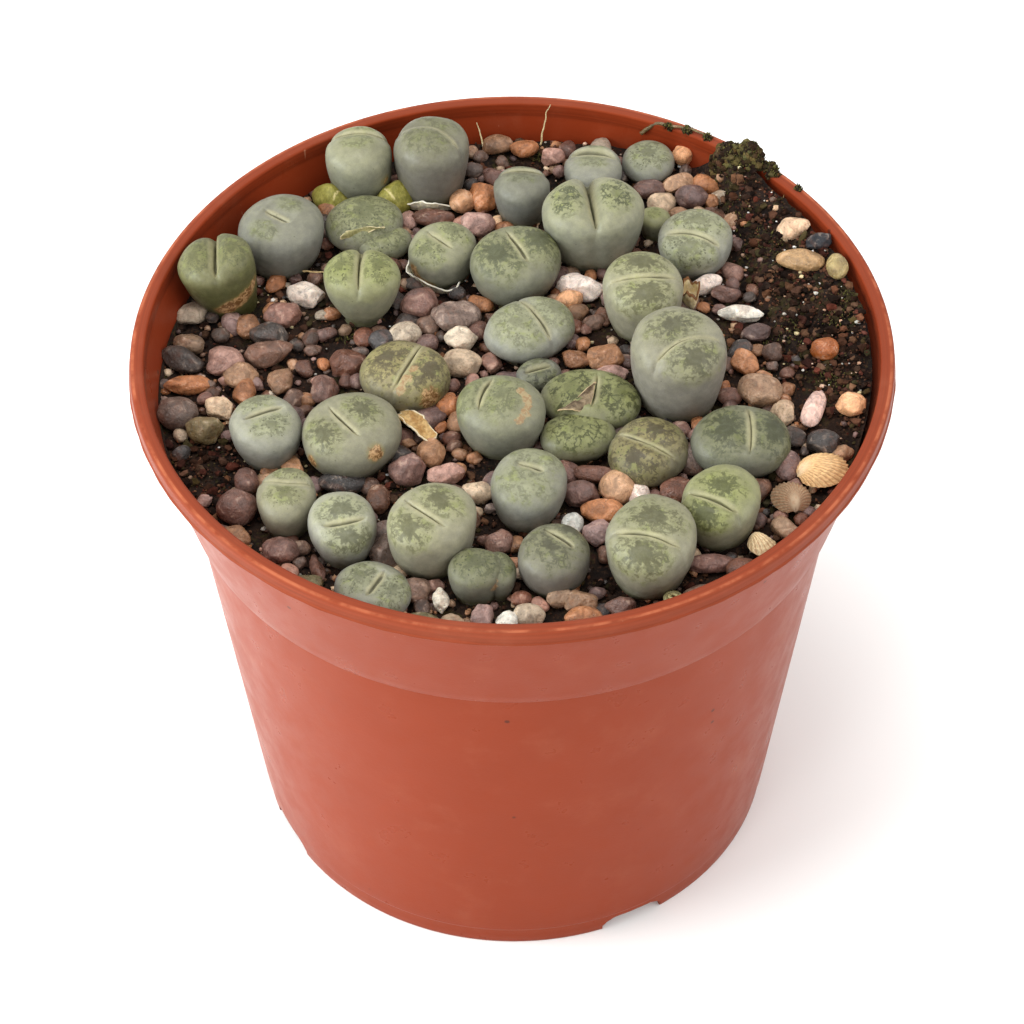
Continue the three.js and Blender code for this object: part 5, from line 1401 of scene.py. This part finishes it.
def make_moss():
    s = Shader("moss", 0.85, 0.2)
    colour = s.scaled(s.mark("tint", "Color"), s.band(s.noise(0.5, 2), 0.3, 0.7, 0.7, 1.25))
    s.bump(s.noise(0.12, 2), 0.05)
    material = s.finish(colour)
    draw = seeded(SEEDS["moss"])
    tints = ((84, 82, 38), (66, 62, 34), (56, 46, 30), (104, 98, 52), (48, 38, 26))
    heap = Heap()
    corners = np.array([[0, 2, 1], [0, 1, 3], [1, 2, 3], [2, 0, 3]])
    for x, y, spread, count in MOSS:
        for _ in range(count):
            px, py, _ = somewhere(draw, spread, x, y)
            if math.hypot(px, py) > MOSS_REACH:
                continue
            pz = moss_base(x, y, spread, px, py)
            tall, wide = 0.2 + 0.4 * next(draw), 0.08 + 0.12 * next(draw)
            lean = 1.2 * tall
            base = turned(np.array([[wide, 0, 0], [-wide / 2, wide, 0], [-wide / 2, -wide, 0],
                                    [0, 0, tall]]), 360 * next(draw))
            base[3] += [lean * (next(draw) - 0.5), lean * (next(draw) - 0.5), 0]
            heap.add(base + [px, py, pz], corners, pick(draw, tints))
    heap.keep("moss_leaves", material, "potting_soil")

    # Lumps of soil under the leaves, where moss has lifted it over the rim.
    lumps = Heap()
    for x, y, spread, count in MOSS:
        if math.hypot(x, y) < NEAR_THE_RIM:
            continue
        for _ in range(2 * count):
            px, py, _ = somewhere(draw, spread, x, y)
            if math.hypot(px, py) > MOSS_REACH:
                continue
            size = (0.4 + 1.1 * next(draw) ** 3) * min(1, 0.4 * spread)
            points, faces = stone_points(draw, 1, size, size, size)
            pz = moss_base(x, y, spread, px, py) - 0.7 * next(draw)
            tint = pick(draw, ((54, 42, 28), (70, 60, 36), (38, 28, 20), (80, 74, 44)))
            lumps.add(points + [px, py, pz], faces, tinted(tint, draw, 0.3))
    lumps.keep("moss_lumps", CRUMB_MATERIAL, "potting_soil", soft=False)


# Dry roots, a stalk and a coiled snail shell: colour, thickness and stops along each.
TUBES = {
    "dry_root_1": ((206, 186, 140), 0.15, ((4.4, 47.4, 79.6), (4.8, 48.4, 82.0), (5.2, 49.2, 84.0),
                                           (5.8, 49.6, 85.4))),
    "dry_root_2": ((206, 186, 140), 0.15, ((-4.0, 47.0, 79.8), (-4.4, 48.0, 81.2), (-4.9, 48.9, 82.8))),
    "dry_root_3": ((186, 160, 110), 0.15, ((-29.5, 20.5, 80.0), (-27.5, 19.5, 81.0),
                                           (-25.6, 19.9, 80.2))),
    "dry_root_4": ((150, 120, 80), 0.15, ((37.0, 27.0, 82.6), (38.6, 29.5, 83.8), (39.0, 32.0, 83.6))),
    "rim_stalk": ((104, 86, 52), 0.32, ((19.0, 46.0, 83.0), (21.0, 46.2, 84.8), (23.2, 45.0, 85.4),
                                        (26.0, 44.2, 85.5), (28.6, 42.6, 85.4))),
    "snail": ((172, 162, 112), 0.42, [
        (20.7 + r * math.cos(a), -43.2 + r * math.sin(a), 81.2 + 0.05 * a)
        for r, a in zip(np.linspace(1.15, 0.3, 22), np.linspace(0, 11, 22))]),
}
TUBE_STEPS = 60
TUBE_SIDES = 10


def make_tubes(material):
    for number, (name, (colour, thick, stops)) in enumerate(TUBES.items(), start=1):
        stops = np.array(stops)
        steps = np.linspace(0, len(stops) - 1, TUBE_STEPS)
        path = np.column_stack([np.interp(steps, range(len(stops)), stops[:, i]) for i in range(3)])
        coiled = name == "snail"
        for _ in range(3 if coiled else 12):
            path[1:-1] = (path[:-2] + 2 * path[1:-1] + path[2:]) / 4
        if not coiled:
            path += 0.12 * np.column_stack([lattice_noise(path, 1.0, i + number) for i in range(3)])
        along = np.gradient(path, axis=0)
        along /= np.linalg.norm(along, axis=1, keepdims=True)
        side = np.cross(along, [0.3, 0.9, 0.2] if not coiled else [0, 0, 1])
        side /= np.linalg.norm(side, axis=1, keepdims=True)
        other = np.cross(along, side)
        radius = np.linspace(thick, 0.4 * thick, TUBE_STEPS)[:, None]
        rings = [path + radius * (math.cos(a) * side + math.sin(a) * other)
                 for a in all_round(TUBE_SIDES)]
        points = np.stack(rings, axis=1).reshape(-1, 3)
        points, faces = capped(points, TUBE_STEPS, TUBE_SIDES, path[0], path[-1])
        heap = Heap()
        heap.add(points, faces, colour)
        heap.keep(name, material, "shell" if coiled else "dry_skin")


# ---- camera, floor, light

CAMERA_PLACE = (0.0, -391.075, 469.831)
LOOK_DOWN = math.radians(46.903)
YAW = -0.0004
ROLL = -0.0073
LENS = 140.625
SENSOR = 36.0
FLOOR_REACH = 3000.0


def make_camera():
    data = bpy.data.cameras.new("camera")
    data.lens = LENS
    data.sensor_width = SENSOR
    data.clip_start = 0.01
    data.clip_end = 20
    camera = new_object("camera", data)
    ahead = Vector((math.sin(YAW) * math.cos(LOOK_DOWN), math.cos(YAW) * math.cos(LOOK_DOWN),
                    -math.sin(LOOK_DOWN)))
    right = ahead.cross(Vector((0, 0, 1))).normalized()
    up = right.cross(ahead)
    rolled_right = math.cos(ROLL) * right + math.sin(ROLL) * up
    rolled_up = -math.sin(ROLL) * right + math.cos(ROLL) * up
    axes = Matrix((rolled_right, rolled_up, -ahead)).transposed().to_4x4()
    camera.matrix_world = Matrix.Translation(Vector(CAMERA_PLACE) * MM) @ axes
    bpy.context.scene.camera = camera


def make_floor():
    s = Shader("floor_paper", 0.9, 0.1)
    colour = s.mix(s.noise(60, 2), (246, 246, 245), (250, 250, 249))
    corners = ((-1, -1, 0), (1, -1, 0), (1, 1, 0), (-1, 1, 0))
    points = FLOOR_REACH * np.array(corners)
    floor = make_mesh("floor", points, np.array([[0, 1, 2, 3]]), s.finish(colour))


def make_light(name, place, aim, size, power, colour=(1, 1, 1)):
    data = bpy.data.lights.new(name, "AREA")
    data.shape, data.size, data.energy, data.color = "DISK", size, power, colour
    light = new_object(name, data)
    light.location = place
    light.rotation_euler = (Vector(aim) - Vector(place)).to_track_quat("-Z", "Y").to_euler()


def make_lights():
    world = bpy.data.worlds.new("studio")
    world.use_nodes = True
    background = world.node_tree.nodes["Background"]
    background.inputs["Color"].default_value = (1, 0.995, 0.985, 1)
    background.inputs["Strength"].default_value = 1.0
    bpy.context.scene.world = world
    make_light("top", (-0.1, -0.02, 1.1), (0, 0, 0.06), 0.5, 4.5, (1, 0.985, 0.97))
    make_light("left", (-0.95, -0.25, 0.4), (0, 0, 0.05), 0.8, 11.6, (0.93, 1, 1))
    make_light("left_floor", (-0.13, -0.04, 0.1), (-0.13, -0.04, 0), 0.1, 0.07)
    make_light("right", (0.9, -0.35, 0.45), (0.05, 0, 0.03), 0.8, 3.3)
    make_light("front", (-0.5, -0.75, 0.42), (0, 0, 0.08), 0.3, 1.2)
    bpy.context.scene.view_settings.view_transform = "Standard"


# ---- everything

CRUMB_MATERIAL = stone_material("soil_crumb", 0.95, 0.1, dark=True)
LOOSE_MATERIALS = {
    "white_stone": stone_material("white_stone", 0.5, 0.5, 0.25),
    "pebble": stone_material("pebble", 0.32, 0.3, 0.1),
    "black_crumb": stone_material("black_crumb", 0.65, 0.3),
}

make_camera()
make_floor()
make_lights()
make_pot()
make_soil(soil_material())
make_gravel(stone_material("gravel", 0.42, 0.4, 0.12))
make_crumbs(CRUMB_MATERIAL)
make_white_grains(LOOSE_MATERIALS["white_stone"])
make_plants()
make_loose_stones()
make_shells()
make_old_leaves()
make_collars(leaf_material("collar_skin", (196, 184, 150), (224, 216, 194), (232, 226, 208), 0.6))
make_dry_leaf(leaf_material("dry_leaf_skin", (164, 124, 72), (204, 172, 118), (226, 212, 180), 0.7))
make_dry_cup(leaf_material("dry_skin", (188, 164, 112), (222, 208, 170), (112, 72, 38), 0.7))
make_flaps()
make_moss()
make_tubes(LOOSE_MATERIALS["pebble"])
